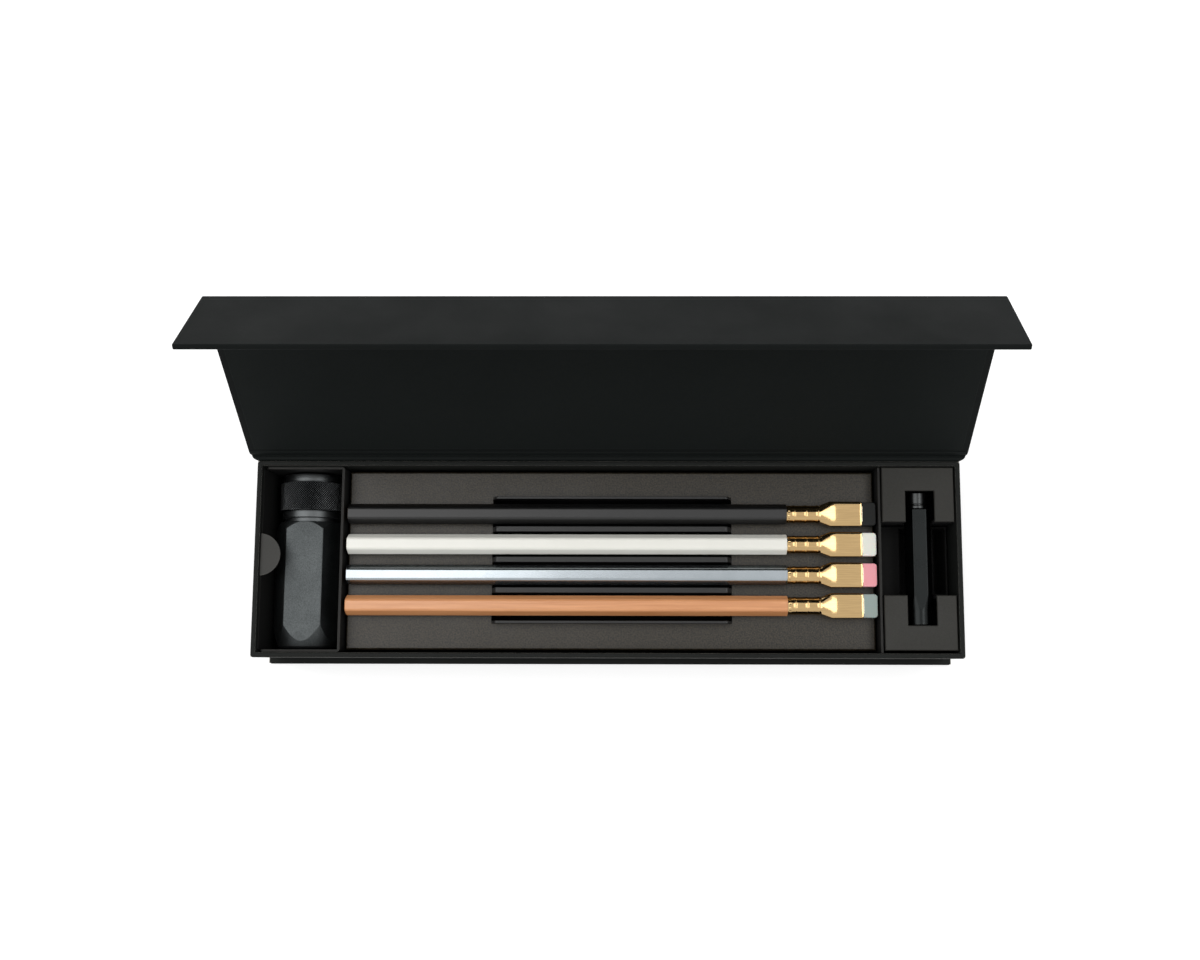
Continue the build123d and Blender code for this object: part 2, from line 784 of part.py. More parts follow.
with BuildPart() as sharpener_collar:
    revolve(under_line(sharpener_plane, collar_steps), axis=sharpener_axis)
    with BuildSketch(Plane.XZ.offset(-spigot_floor)):
        with Locations((sharpener_x, sharpener_z)):
            Circle(spigot_bore / 2)
    extrude(amount=spigot_floor - spigot_end, mode=Mode.SUBTRACT)
    with BuildSketch(Plane.XZ.offset(-sharpener_mouth_y)):
        with Locations((sharpener_x, sharpener_z)):
            Circle(pencil_mouth / 2)
    extrude(amount=sharpener_mouth_y - spigot_floor, mode=Mode.SUBTRACT)
sharpener_collar.part.label = "sharpener_collar"
export_step(sharpener_collar.part, "parts/sharpener_collar.step")

# The cutter block: a cone for the pencil, with one side cut away along it for the blade
cone_steps = ((cone_tip_y, cone_tip / 2), (cutter_front, cone_mouth / 2))
cone_half_angle = (cone_mouth - cone_tip) / 2 / (cutter_front - cone_tip_y)
window_start = cone_tip_y - 1
window_end = window_start + blade_length
seat_start = cone_tip / 2 + cone_half_angle * (window_start - cone_tip_y)
seat_end = seat_start + cone_half_angle * blade_length
seat_direction = (0, 1, cone_half_angle)
seat_plane = Plane(
    origin=(sharpener_x, window_start, sharpener_z + seat_start),
    x_dir=(1, 0, 0),
    z_dir=(0, -cone_half_angle, 1),
)
screw_y = window_start + 0.7 * blade_length
screw_x = 0.32 * blade_width

with BuildPart() as sharpener_cutter:
    with BuildSketch(Plane.XZ.offset(-cutter_front)):
        with Locations((sharpener_x, sharpener_z)):
            Circle(cutter_diameter / 2)
    extrude(amount=cutter_front - cutter_back)
    revolve(under_line(sharpener_plane, cone_steps), axis=sharpener_axis, mode=Mode.SUBTRACT)
    with BuildSketch(seat_plane):
        with Locations((0, blade_length / 2)):
            Rectangle(cutter_diameter, blade_length)
    extrude(amount=cutter_diameter, mode=Mode.SUBTRACT)
    with BuildSketch(seat_plane):
        with Locations((screw_x, screw_y - window_start)):
            Circle(screw_shank / 2)
    extrude(amount=-screw_depth, mode=Mode.SUBTRACT)
sharpener_cutter.part.label = "sharpener_cutter"
export_step(sharpener_cutter.part, "parts/sharpener_cutter.step")

with BuildPart() as sharpener_blade:
    with BuildSketch(seat_plane):
        with Locations((blade_width / 2 - blade_thickness, blade_length / 2)):
            Rectangle(blade_width - blade_thickness, blade_length - 2 * blade_thickness)
        with Locations((screw_x, screw_y - window_start)):
            Circle(screw_shank / 2, mode=Mode.SUBTRACT)
    extrude(amount=blade_thickness)
sharpener_blade.part.label = "sharpener_blade"
export_step(sharpener_blade.part, "parts/sharpener_blade.step")

with BuildPart() as sharpener_screw:
    with BuildSketch(seat_plane.offset(blade_thickness)):
        with Locations((screw_x, screw_y - window_start)):
            Circle(screw_head / 2)
    extrude(amount=screw_head_height)
    with BuildSketch(seat_plane.offset(blade_thickness)):
        with Locations((screw_x, screw_y - window_start)):
            Circle(screw_shank / 2)
    extrude(amount=-(screw_depth + blade_thickness))
    with BuildSketch(seat_plane.offset(blade_thickness + screw_head_height)):
        with Locations((screw_x, screw_y - window_start)):
            Rectangle(screw_head, blade_thickness)
    extrude(amount=-screw_head_height / 2, mode=Mode.SUBTRACT)
sharpener_screw.part.label = "sharpener_screw"
export_step(sharpener_screw.part, "parts/sharpener_screw.step")

# The point guard
guard_plane = along_y(guard_x, guard_z)
guard_axis = Axis((guard_x, 0, guard_z), (0, 1, 0))
guard_corner = guard_flats / 2 / cos(pi / 6)
guard_envelope = (
    (guard_mouth_y, guard_mouth_diameter / 2),
    (guard_tip_y, guard_mouth_diameter / 2),
    (guard_hex_end_y, guard_corner),
    (guard_shoulder_y, guard_corner),
)
bore_end_y = guard_mouth_y + guard_bore_depth
sleeve_end_y = guard_mouth_y + sleeve_start + sleeve_length
button_steps = (
    (guard_shoulder_y - plug_depth, plug_diameter / 2),
    (guard_shoulder_y, plug_diameter / 2),
    (guard_shoulder_y, guard_ring_diameter / 2),
    (guard_ring_y, guard_ring_diameter / 2),
    (guard_ring_y, button_diameter / 2 - touch),
    (guard_ring_y + 4 * touch, button_diameter / 2 - touch),
    (guard_ring_y + 4 * touch, button_diameter / 2),
    (guard_end_y - button_round, button_diameter / 2),
    (guard_end_y, button_diameter / 2 - button_round),
)

with BuildPart() as guard_shell:
    with BuildSketch(Plane.XZ.offset(-guard_shoulder_y)):
        with Locations((guard_x, guard_z)):
            RegularPolygon(guard_flats / 2, 6, major_radius=False)
    extrude(amount=guard_shoulder_y - guard_mouth_y)
    revolve(under_line(guard_plane, guard_envelope), axis=guard_axis, mode=Mode.INTERSECT)
    with BuildSketch(Plane.XZ.offset(-bore_end_y)):
        with Locations((guard_x, guard_z)):
            Circle(guard_bore / 2)
    extrude(amount=guard_bore_depth, mode=Mode.SUBTRACT)
    with BuildSketch(Plane.XZ.offset(-sleeve_end_y)):
        with Locations((guard_x, guard_z)):
            Circle(guard_bore / 2 + sleeve_wall)
    extrude(amount=sleeve_length, mode=Mode.SUBTRACT)
    with BuildSketch(Plane.XZ.offset(-guard_shoulder_y)):
        with Locations((guard_x, guard_z)):
            Circle(plug_diameter / 2)
    extrude(amount=plug_depth, mode=Mode.SUBTRACT)
guard_shell.part.label = "guard_shell"
export_step(guard_shell.part, "parts/guard_shell.step")

with BuildPart() as guard_button:
    revolve(under_line(guard_plane, button_steps), axis=guard_axis)
guard_button.part.label = "guard_button"
export_step(guard_button.part, "parts/guard_button.step")

with BuildPart() as guard_sleeve:
    with BuildSketch(Plane.XZ.offset(-sleeve_end_y)):
        with Locations((guard_x, guard_z)):
            Circle(guard_bore / 2 + sleeve_wall)
            Circle(guard_bore / 2, mode=Mode.SUBTRACT)
        with Locations((guard_x, guard_z - guard_bore / 2)):
            Rectangle(sleeve_slot, guard_bore, mode=Mode.SUBTRACT)
    extrude(amount=sleeve_length)
guard_sleeve.part.label = "guard_sleeve"
export_step(guard_sleeve.part, "parts/guard_sleeve.step")
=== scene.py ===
# %% [markdown]
# # A pencil gift set, drawn over its CAD model
#
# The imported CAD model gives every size. This lesson draws each visible piece again with the soft
# edges, crimps, knurls and materials that the real one shows, and ties each to the CAD body that it
# moves with. Lengths are written in millimetres and scaled to metres by `MM` as meshes are made.

# %% Load the frame
import json
import math

import bmesh
import bpy
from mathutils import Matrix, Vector


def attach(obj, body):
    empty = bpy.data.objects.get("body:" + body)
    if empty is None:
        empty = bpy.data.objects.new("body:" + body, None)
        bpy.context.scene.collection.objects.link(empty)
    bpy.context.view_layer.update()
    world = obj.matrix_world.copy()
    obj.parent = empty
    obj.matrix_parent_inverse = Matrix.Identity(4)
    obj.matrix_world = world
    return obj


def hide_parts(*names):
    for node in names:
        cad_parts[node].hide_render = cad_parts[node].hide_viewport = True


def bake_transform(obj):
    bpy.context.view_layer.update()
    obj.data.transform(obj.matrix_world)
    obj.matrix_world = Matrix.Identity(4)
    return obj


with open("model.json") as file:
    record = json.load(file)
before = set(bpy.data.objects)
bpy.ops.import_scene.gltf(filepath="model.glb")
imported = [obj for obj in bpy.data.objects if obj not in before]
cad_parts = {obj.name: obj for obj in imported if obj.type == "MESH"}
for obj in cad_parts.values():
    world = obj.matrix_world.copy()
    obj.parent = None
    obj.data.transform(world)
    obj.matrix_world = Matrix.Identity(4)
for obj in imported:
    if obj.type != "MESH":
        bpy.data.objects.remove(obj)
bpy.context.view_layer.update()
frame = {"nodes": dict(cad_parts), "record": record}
cad_nodes = frame["nodes"]
MM = 0.001

# %% [markdown]
# ## The camera
#
# The camera looks almost straight down. Its place, angles and lens come from a fit of the box's corners,
# so the render lines up with the photograph. The photograph is a crop whose middle lies a little left
# of the lens's own axis, and a small sideways shift gives that framing without turning the camera.

# %% The camera
camera_data = bpy.data.cameras.new("camera")
camera_data.sensor_width = 36
camera_data.lens = 40.0987
camera_data.shift_x = -0.02659
camera_data.shift_y = -0.00018
camera_data.clip_start = 0.01
camera = bpy.data.objects.new("camera", camera_data)
camera.location = (0.0134028, -0.038602, 0.543212)
camera.rotation_euler = [math.radians(angle) for angle in (7.73854, 0.45988, 0.12252)]
bpy.context.scene.collection.objects.link(camera)
bpy.context.scene.camera = camera
print("camera", [round(value, 4) for value in camera.location])

# %% [markdown]
# ## Sizes that the CAD and the drawing share
#
# A leaf is a board with paper on both faces. `on_leaf` finds a point on a tilted leaf from its distance
# along the leaf and its depth towards the inside of the box.

# %% Shared sizes
CASE_WIDTH = 274.0
TRAY_WIDTH = 268.8
TRAY_DEPTH = 74.8
RIM = 37.5
LEAF = 2.0
HINGE = (38.4, 37.9)
LID_ANGLE = 55.2
LID_LENGTH = 78.4
FLAP_ANGLE = 131.2
FLAP_LENGTH = 35.8
PLATFORM_TOP = 28.1
RIB_TOP = 32.9
DIVIDER_TOP = 35.1
BLOCK_TOP = 36.5
PENCIL_Z = 31.65
PENCIL_START = -99.9
BARREL_END = 68.4
ROWS = {"black": 17.55, "pearl": 5.85, "grey": -5.85, "natural": -17.55}
SHARPENER = (-117.5, 16.55)
GUARD = (118.95, 30.5)


def on_leaf(origin, angle, along, inward):
    slope = math.radians(angle)
    y = origin[0] + along * math.cos(slope) - inward * math.sin(slope)
    z = origin[1] + along * math.sin(slope) + inward * math.cos(slope)
    return y, z


def on_lid(along, inward):
    return on_leaf(HINGE, LID_ANGLE, along, inward)


FOLD = on_lid(LID_LENGTH, -LEAF)


def on_flap(along, inward):
    return on_leaf(FOLD, FLAP_ANGLE, along, inward)


print("fold line at", [round(value, 2) for value in FOLD])

# %% [markdown]
# ## Building shader groups
#
# A node group is a small machine that several materials share. `new_group` makes one with named sockets,
# `add_node` puts a node in a group or a material, and `use_group` places a finished group in a material.
# Groups hand out only colours, masks, values and normals. The Principled BSDF always stays in the
# material itself.


# %% Tools for node trees
def new_group(name, inputs, outputs):
    group = bpy.data.node_groups.new(name, "ShaderNodeTree")
    for label, value in inputs:
        socket = group.interface.new_socket(label, in_out="INPUT", socket_type="NodeSocketFloat")
        socket.default_value = value
    for label, kind in outputs:
        group.interface.new_socket(label, in_out="OUTPUT", socket_type="NodeSocket" + kind)
    return group, group.nodes.new("NodeGroupInput").outputs, group.nodes.new("NodeGroupOutput").inputs


def fill(tree, node, links):
    """Sets a node's inputs, each from a value or from another node's socket."""
    for label, value in dict(links).items():
        if isinstance(value, bpy.types.NodeSocket):
            tree.links.new(value, node.inputs[label])
        else:
            node.inputs[label].default_value = value


def add_node(tree, kind, links=(), **settings):
    node = tree.nodes.new("ShaderNode" + kind)
    for key, value in settings.items():
        setattr(node, key, value)
    fill(tree, node, links)
    return node


def use_group(material, name, **values):
    node = material.node_tree.nodes.new("ShaderNodeGroup")
    node.node_tree = bpy.data.node_groups[name]
    fill(material.node_tree, node, values)
    return node.outputs


def map_range(tree, value, low, high, to_low=0.0, to_high=1.0):
    """Stretches the values between `low` and `high` over a new range, and clamps the rest."""
    limits = {"Value": value, "From Min": low, "From Max": high, "To Min": to_low, "To Max": to_high}
    return add_node(tree, "MapRange", limits).outputs[0]


def new_material(name, color=(1, 1, 1), **inputs):
    material = bpy.data.materials.new(name)
    material.use_nodes = True
    shader = material.node_tree.nodes["Principled BSDF"]
    shader.inputs["Base Color"].default_value = (*color, 1)
    for label, value in inputs.items():
        shader.inputs[label.replace("_", " ")].default_value = value
    return material, shader


def mix_colors(tree, factor, first, second):
    """The colour between two others. Each may be a colour or a socket."""
    node = tree.nodes.new("ShaderNodeMix")
    node.data_type = "RGBA"
    for index, value in ((0, factor), (6, first), (7, second)):
        if isinstance(value, bpy.types.NodeSocket):
            tree.links.new(value, node.inputs[index])
        else:
            node.inputs[index].default_value = (*value, 1)
    return node.outputs[2]


def finish_material(material, shader, **sources):
    """Links the sockets that vary over the surface to the shader's inputs."""
    for label, source in sources.items():
        material.node_tree.links.new(source, shader.inputs[label.replace("_", " ")])
    return material


print("node tools ready")

# %% [markdown]
# ## Shared effects
#
# - `grain` is a fine noise in the object's own metres: the tooth of paper or the frost of a blasted
#   metal. `Size` is the grain's width in metres.
# - `streaks` is a noise drawn out along X, as the lines in rolled or drawn brass are.
# - The edge group compares the true normal with a rounded one, so it is bright only close to edges. Materials
#   use it to paint their edges lighter: a painted highlight.
# - `smudges` is a slow cloud that varies the gloss, as handling does.
# - `height band` is 1 between two heights. With it the insert card's upright faces and doors are painted
#   black, a painted shade, and its printed top faces stay grey.
# - `bare end` is 1 on the end of a pencil, where a saw has cut through the lacquer.


# %% Grain and streaks
def noise_scale(tree, size):
    return add_node(tree, "Math", {0: 1.0, 1: size}, operation="DIVIDE").outputs[0]


def relief(tree, given, height):
    strength = {"Height": height, "Strength": given["Depth"], "Distance": given["Relief"]}
    return add_node(tree, "Bump", strength).outputs["Normal"]


def grain_like_group(name, stretch):
    inputs = [("Size", 0.0003), ("Depth", 0.3), ("Relief", 0.00005)]
    group, given, result = new_group(name, inputs, [("Tone", "Float"), ("Normal", "Vector")])
    place = add_node(group, "TexCoord").outputs["Object"]
    place = add_node(group, "Mapping", {"Vector": place, "Scale": stretch}).outputs[0]
    scale = noise_scale(group, given["Size"])
    settings = {"Vector": place, "Scale": scale, "Detail": 3.0, "Roughness": 0.6}
    noise = add_node(group, "TexNoise", settings).outputs["Fac"]
    group.links.new(noise, result["Tone"])
    group.links.new(relief(group, given, noise), result["Normal"])


grain_like_group("grain", (1, 1, 1))
grain_like_group("streaks", (0.04, 1, 1))
print("grain and streaks made")


# %% Painted edge highlights, smudges and masks
# The edge mask with which materials paint their edges lighter: a painted highlight.
def edge_group():
    group, given, result = new_group("painted edge highlight", [("Width", 0.0004)], [("Edge", "Float")])
    rounded = add_node(group, "Bevel", {"Radius": given["Width"]}, samples=6).outputs[0]
    true = add_node(group, "NewGeometry").outputs["Normal"]
    match = add_node(group, "VectorMath", {0: rounded, 1: true}, operation="DOT_PRODUCT").outputs["Value"]
    group.links.new(map_range(group, match, 0.99, 0.8), result["Edge"])


def smudge_group():
    inputs = [("Size", 0.02), ("Low", 0.4), ("High", 0.5)]
    group, given, result = new_group("smudges", inputs, [("Value", "Float")])
    place = add_node(group, "TexCoord").outputs["Object"]
    settings = {"Vector": place, "Scale": noise_scale(group, given["Size"]), "Detail": 4.0, "Roughness": 0.55}
    cloud = add_node(group, "TexNoise", settings).outputs["Fac"]
    group.links.new(map_range(group, cloud, 0.3, 0.7, given["Low"], given["High"]), result["Value"])


def band_group():
    inputs = [("Low", 0.0), ("High", 0.01), ("Blur", 0.00015)]
    group, given, result = new_group("height band", inputs, [("Mask", "Float")])
    place = add_node(group, "TexCoord").outputs["Object"]
    height = add_node(group, "SeparateXYZ", {0: place}).outputs["Z"]
    masks = []
    for limit, sign in ((given["Low"], 1), (given["High"], -1)):
        over = add_node(group, "Math", {0: height, 1: limit}, operation="SUBTRACT").outputs[0]
        share = add_node(group, "Math", {0: over, 1: given["Blur"]}, operation="DIVIDE").outputs[0]
        masks.append(map_range(group, share, 0.0, float(sign)))
    both = add_node(group, "Math", {0: masks[0], 1: masks[1]}, operation="MULTIPLY").outputs[0]
    group.links.new(both, result["Mask"])


def bare_end_group():
    group, given, result = new_group("bare end", [("Start", PENCIL_START * MM)], [("Mask", "Float")])
    place = add_node(group, "TexCoord").outputs["Object"]
    across = add_node(group, "SeparateXYZ", {0: place}).outputs["X"]
    over = add_node(group, "Math", {0: across, 1: given["Start"]}, operation="SUBTRACT").outputs[0]
    group.links.new(map_range(group, over, 3e-5, 1e-5), result["Mask"])


for make_group in (edge_group, smudge_group, band_group, bare_end_group):
    make_group()
print("groups:", [group.name for group in bpy.data.node_groups])

# %% [markdown]
# ## Paper and card
#
# The case is wrapped in a smooth black paper with a fine tooth. Its edges are painted slightly lighter, a
# painted highlight. The insert is a card with a warm grey printed face. Its doors and the sides of its
# folds are painted black, a painted shade, and its other faces that look up are grey. A scanned picture
# could give this, but a band between two heights needs none and follows the CAD's own levels.


# %% Paper and card materials
def paper_material(name, dark, light, edge, shine, roughness, size, height, black=None, highlight_width=0.0005):
    """Paper with a tooth `size` wide and `height` deep, painted black as shade between the two heights of
    `black`, and painted lighter at its edges as a highlight.
    """
    material, shader = new_material(name, Specular_IOR_Level=shine)
    tree = material.node_tree
    tooth = use_group(material, "grain", Size=size, Depth=0.6, Relief=height)
    gloss = use_group(material, "smudges", Size=0.03, Low=roughness - 0.05, High=roughness + 0.06)
    rim = use_group(material, "painted edge highlight", Width=highlight_width)
    face = mix_colors(tree, map_range(tree, tooth["Tone"], 0.35, 0.65), dark, light)
    face = mix_colors(tree, rim["Edge"], face, edge)
    if black:
        painted_shade_band = use_group(material, "height band", Low=black[0] * MM, High=black[1] * MM)
        face = mix_colors(tree, painted_shade_band["Mask"], face, BLACK_CARD_PAINTED_SHADE)
    return finish_material(
        material, shader, Base_Color=face, Roughness=gloss["Value"], Normal=tooth["Normal"]
    )


# A set of tones is the tooth's dark and light, and then a lighter edge tone, which is a painted highlight.
# The black painted on the card's upright faces as shade, also the dark card's darkest tone.
BLACK_CARD_PAINTED_SHADE = (0.006, 0.006, 0.006)
CASE_TONES = ((0.0038, 0.0050, 0.0049), (0.0064, 0.0077, 0.0074), (0.022, 0.025, 0.024))
# The tray and the base use the case's black paper painted lighter, a painted light, with a brighter painted
# highlight on their edges.
CASE_TONES_PAINTED_LIGHTER = ((0.0095, 0.0105, 0.0096), (0.0140, 0.0150, 0.0140), (0.046, 0.048, 0.043))
LINING_TONES = ((0.0062, 0.0078, 0.0075), (0.0098, 0.0118, 0.0115), (0.018, 0.021, 0.020))
# The step card, the bay's side card and the tray's inner paper are dark: black paper, and on the step card a
# painted shade in place of its grey print.
DARK_CARD_AND_SHADE_TONES = (BLACK_CARD_PAINTED_SHADE, (0.011, 0.011, 0.0105), (0.02, 0.02, 0.019))
BOARD_TONES = ((0.26, 0.25, 0.22), (0.40, 0.38, 0.34), (0.42, 0.40, 0.36))
PRINT = ((0.005, 0.004, 0.002), (0.038, 0.030, 0.018), (0.055, 0.048, 0.040))
SMOOTH_PRINT = ((0.020, 0.0195, 0.017), (0.031, 0.030, 0.026), (0.10, 0.096, 0.088))
# The dividers' top faces are a dark print, with a bright painted highlight on their edges.
WALL_PRINT_AND_EDGE_HIGHLIGHT = ((0.010, 0.010, 0.009), (0.018, 0.0175, 0.016), (0.15, 0.145, 0.13))
WRAP_TOOTH = (0.00022, 3e-5)

case_paper = paper_material("case_paper", *CASE_TONES, 0.07, 0.6, *WRAP_TOOTH)
case_paper_painted_lighter = paper_material("case_paper_painted_lighter", *CASE_TONES_PAINTED_LIGHTER, 0.09, 0.55, *WRAP_TOOTH)
lining_paper = paper_material("lining_paper", *LINING_TONES, 0.06, 0.62, *WRAP_TOOTH)
# Its upright faces and its doors, up to above their tops, are painted black: a painted shade.
platform_card = paper_material(
    "platform_card", *PRINT, 0.38, 0.36, 0.0006, 1.2e-4, (PLATFORM_TOP + 0.1, RIB_TOP + 1.0)
)
# The dividers' upright faces are painted black: a painted shade.
wall_card = paper_material(
    "wall_card", *WALL_PRINT_AND_EDGE_HIGHLIGHT, 0.2, 0.55, 0.0003, 4e-5, (0.0, DIVIDER_TOP - 0.15), highlight_width=0.0003
)
# The blocks' upright faces are painted black: a painted shade.
block_card = paper_material(
    "block_card", *SMOOTH_PRINT, 0.25, 0.6, 0.0003, 2e-5, (0.0, BLOCK_TOP - 0.5), highlight_width=0.0004
)
tab_card = paper_material("tab_card", *SMOOTH_PRINT, 0.35, 0.55, 0.0003, 3e-5)
dark_card_and_shade = paper_material("dark_card_and_shade", *DARK_CARD_AND_SHADE_TONES, 0.1, 0.7, 0.0003, 3e-5)
grey_board = paper_material("grey_board", *BOARD_TONES, 0.3, 0.85, 0.0005, 1e-4)
print("paper materials made")

# %% [markdown]
# ## Metals
#
# Anodised aluminium is nearly black and takes a soft highlight from its blasted surface. Polished brass
# is a warm metal with faint drawing lines along it. Both are metals in the shader, so their colour is
# the colour of what they reflect, and the grain only changes how sharp that is. Their edges are painted
# lighter, a painted highlight.


# %% Metal materials
def metal_material(name, color, roughness, texture="grain", size=0.0002, height=1e-5, spread=0.1, edge=None):
    """A metal whose tone varies by `spread` with its grain, and whose edges may be painted lighter by `edge`,
    a painted highlight.
    """
    material, shader = new_material(name, Metallic=1.0)
    tree = material.node_tree
    frost = use_group(material, texture, Size=size, Depth=0.5, Relief=height)
    gloss = use_group(material, "smudges", Size=0.012, Low=roughness * 0.85, High=roughness * 1.15)
    dark, light = ([value * (1 + side * spread) for value in color] for side in (-1, 1))
    face = mix_colors(tree, map_range(tree, frost["Tone"], 0.35, 0.65), dark, light)
    if edge:
        rim = use_group(material, "painted edge highlight", Width=0.0003)
        face = mix_colors(tree, rim["Edge"], face, edge)
    return finish_material(
        material, shader, Base_Color=face, Roughness=gloss["Value"], Normal=frost["Normal"]
    )


# Its edge colour is a painted highlight.
blasted_black = metal_material(
    "blasted_black",
    (0.066, 0.072, 0.073),
    0.5,
    size=0.00028,
    height=3e-5,
    spread=0.3,
    edge=(0.10, 0.105, 0.11),
)
# The guard's and the knob's edge colours are painted highlights.
guard_black = metal_material("guard_black", (0.0165, 0.018, 0.018), 0.28, edge=(0.13, 0.13, 0.13))
knob_black = metal_material("knob_black", (0.046, 0.048, 0.048), 0.3, edge=(0.09, 0.09, 0.095))
# The brass's pale edge colour is a painted highlight.
brass = metal_material("brass", (0.53, 0.365, 0.175), 0.14, "streaks", 0.0004, 6e-6, 0.07, (0.88, 0.70, 0.40))
clip_brass = metal_material("clip_brass", (0.95, 0.86, 0.68), 0.25, "streaks", 0.0003, 6e-6, 0.05)
turned_brass = metal_material("turned_brass", (0.74, 0.56, 0.30), 0.3)
blade_steel = metal_material("blade_steel", (0.62, 0.62, 0.64), 0.2, "streaks")
plated_steel = metal_material("plated_steel", (0.68, 0.67, 0.64), 0.25)
print("metal materials made")

# %% [markdown]
# The collar is the same black metal, turned and then knurled. Its colour follows the distance from the
# sharpener's axis: the knurled band is near black, a painted shade in its grooves, and the knurl tops are
# lighter, partly rubbed by handling and partly a painted highlight.


# %% The turned collar's material
def turned_collar_material():
    material, shader = new_material("turned_black", Metallic=1.0)
    tree = material.node_tree
    place = add_node(tree, "TexCoord").outputs["Object"]
    axis = (SHARPENER[0] * MM, 0.0, SHARPENER[1] * MM)
    place = add_node(tree, "VectorMath", {0: place, 1: axis}, operation="SUBTRACT").outputs[0]
    place = add_node(tree, "VectorMath", {0: place, 1: (1, 0, 1)}, operation="MULTIPLY").outputs[0]
    distance = add_node(tree, "VectorMath", {0: place}, operation="LENGTH").outputs["Value"]
    crest_wear_and_highlight = map_range(tree, distance, 12.5 * MM, 12.68 * MM)
    groove = map_range(tree, distance, 11.72 * MM, 11.80 * MM)
    # Near black beyond the smooth rings is a painted shade for the grooves. The light tops are partly rubbing
    # and partly a painted highlight.
    face = mix_colors(tree, groove, (0.10, 0.106, 0.108), (0.003, 0.004, 0.0045))
    face = mix_colors(tree, crest_wear_and_highlight, face, (0.26, 0.27, 0.275))
    frost = use_group(material, "grain", Size=0.0002, Depth=0.4, Relief=1e-5)
    gloss = use_group(material, "smudges", Size=0.012, Low=0.4, High=0.46)
    return finish_material(
        material, shader, Base_Color=face, Roughness=gloss["Value"], Normal=frost["Normal"]
    )


turned_black = turned_collar_material()
print("collar material made")

# %% [markdown]
# ## Pencils
#
# Each barrel has its own finish. The black one is a satin paint. The pearl and grey ones are lacquers
# with fine metal flakes under a clear coat. The natural one is cedar, whose grain runs along the pencil,
# under a clear satin coat. All four are sawn off at the writing end, which shows bare wood and the lead.


# %% Wood
def wood_group():
    inputs = [("Depth", 0.3)]
    group, given, result = new_group("wood", inputs, [("Tone", "Float"), ("Normal", "Vector")])
    place = add_node(group, "TexCoord").outputs["Object"]
    streak = add_node(group, "Mapping", {"Vector": place, "Scale": (0.03, 1, 1)}).outputs[0]
    settings = {"Vector": streak, "Scale": 900.0, "Detail": 4.0, "Distortion": 0.4}
    rings = add_node(group, "TexNoise", settings).outputs["Fac"]
    pores = add_node(group, "TexNoise", {"Vector": streak, "Scale": 4200.0, "Detail": 2.0}).outputs["Fac"]
    tone = add_node(group, "Math", {0: pores, 1: 0.35, 2: rings}, operation="MULTIPLY_ADD").outputs[0]
    bump = add_node(group, "Bump", {"Height": pores, "Strength": given["Depth"], "Distance": 2e-5})
    group.links.new(tone, result["Tone"])
    group.links.new(bump.outputs["Normal"], result["Normal"])


wood_group()


# %% Barrel materials
def cedar_color(material, light, dark):
    wood = use_group(material, "wood", Depth=0.3)
    tree = material.node_tree
    return mix_colors(tree, map_range(tree, wood["Tone"], 0.45, 0.9), light, dark), wood["Normal"]


def lacquer_material(name, color, shade, metallic, roughness, coat):
    material, shader = new_material(name, Metallic=metallic, Coat_Weight=coat, Coat_Roughness=0.08)
    tree = material.node_tree
    flakes = use_group(material, "grain", Size=0.00025, Depth=0.25, Relief=1e-5)
    cloud = use_group(material, "smudges", Size=0.015, Low=0.0, High=1.0)
    sawn = use_group(material, "bare end")
    paint = mix_colors(tree, cloud["Value"], color, shade)
    bare = cedar_color(material, (0.62, 0.36, 0.20), (0.42, 0.21, 0.11))[0]
    gloss = map_range(tree, sawn["Mask"], 0.0, 1.0, roughness, 0.8)
    return finish_material(
        material,
        shader,
        Base_Color=mix_colors(tree, sawn["Mask"], paint, bare),
        Roughness=gloss,
        Normal=flakes["Normal"],
    )


def cedar_material():
    material, shader = new_material("clear_cedar", Roughness=0.38, Coat_Weight=0.5, Coat_Roughness=0.2)
    face, normal = cedar_color(material, (0.78, 0.36, 0.155), (0.62, 0.255, 0.095))
    return finish_material(material, shader, Base_Color=face, Normal=normal)


barrels = {
    "black": lacquer_material("black_lacquer", (0.005, 0.005, 0.005), (0.007, 0.007, 0.007), 0.0, 0.38, 0.0),
    "pearl": lacquer_material("pearl_lacquer", (0.92, 0.915, 0.84), (0.95, 0.94, 0.87), 0.0, 0.35, 0.3),
    "grey": lacquer_material("grey_lacquer", (0.33, 0.365, 0.385), (0.38, 0.415, 0.44), 0.97, 0.22, 0.3),
    "natural": cedar_material(),
}
graphite = metal_material("graphite", (0.10, 0.10, 0.105), 0.5)
print("barrel materials made")

# %% [markdown]
# The erasers are matt rubber with a fine tooth. A little light goes into rubber and comes out close by,
# so a small subsurface weight keeps the pale ones from looking like painted wood. A plain colour would
# be quicker, but would leave their shaded sides too dark.


# %% Eraser materials
def rubber_material(name, color, shade):
    material, shader = new_material(
        name,
        Roughness=0.7,
        Specular_IOR_Level=0.25,
        Subsurface_Weight=0.15,
        Subsurface_Scale=0.001,
    )
    tooth = use_group(material, "grain", Size=0.00022, Depth=0.5, Relief=3e-5)
    # The edges take the lighter tone: a painted highlight.
    rim = use_group(material, "painted edge highlight", Width=0.0008)
    face = mix_colors(material.node_tree, tooth["Tone"], shade, color)
    face = mix_colors(material.node_tree, rim["Edge"], face, color)
    return finish_material(material, shader, Base_Color=face, Normal=tooth["Normal"])


rubbers = {
    "black": rubber_material("black_rubber", (0.010, 0.011, 0.0105), (0.005, 0.0055, 0.005)),
    "pearl": rubber_material("white_rubber", (0.92, 0.92, 0.83), (0.84, 0.84, 0.76)),
    "grey": rubber_material("pink_rubber", (0.95, 0.42, 0.46), (0.90, 0.37, 0.41)),
    "natural": rubber_material("green_rubber", (0.37, 0.435, 0.41), (0.31, 0.375, 0.35)),
}
print("rubber materials made")

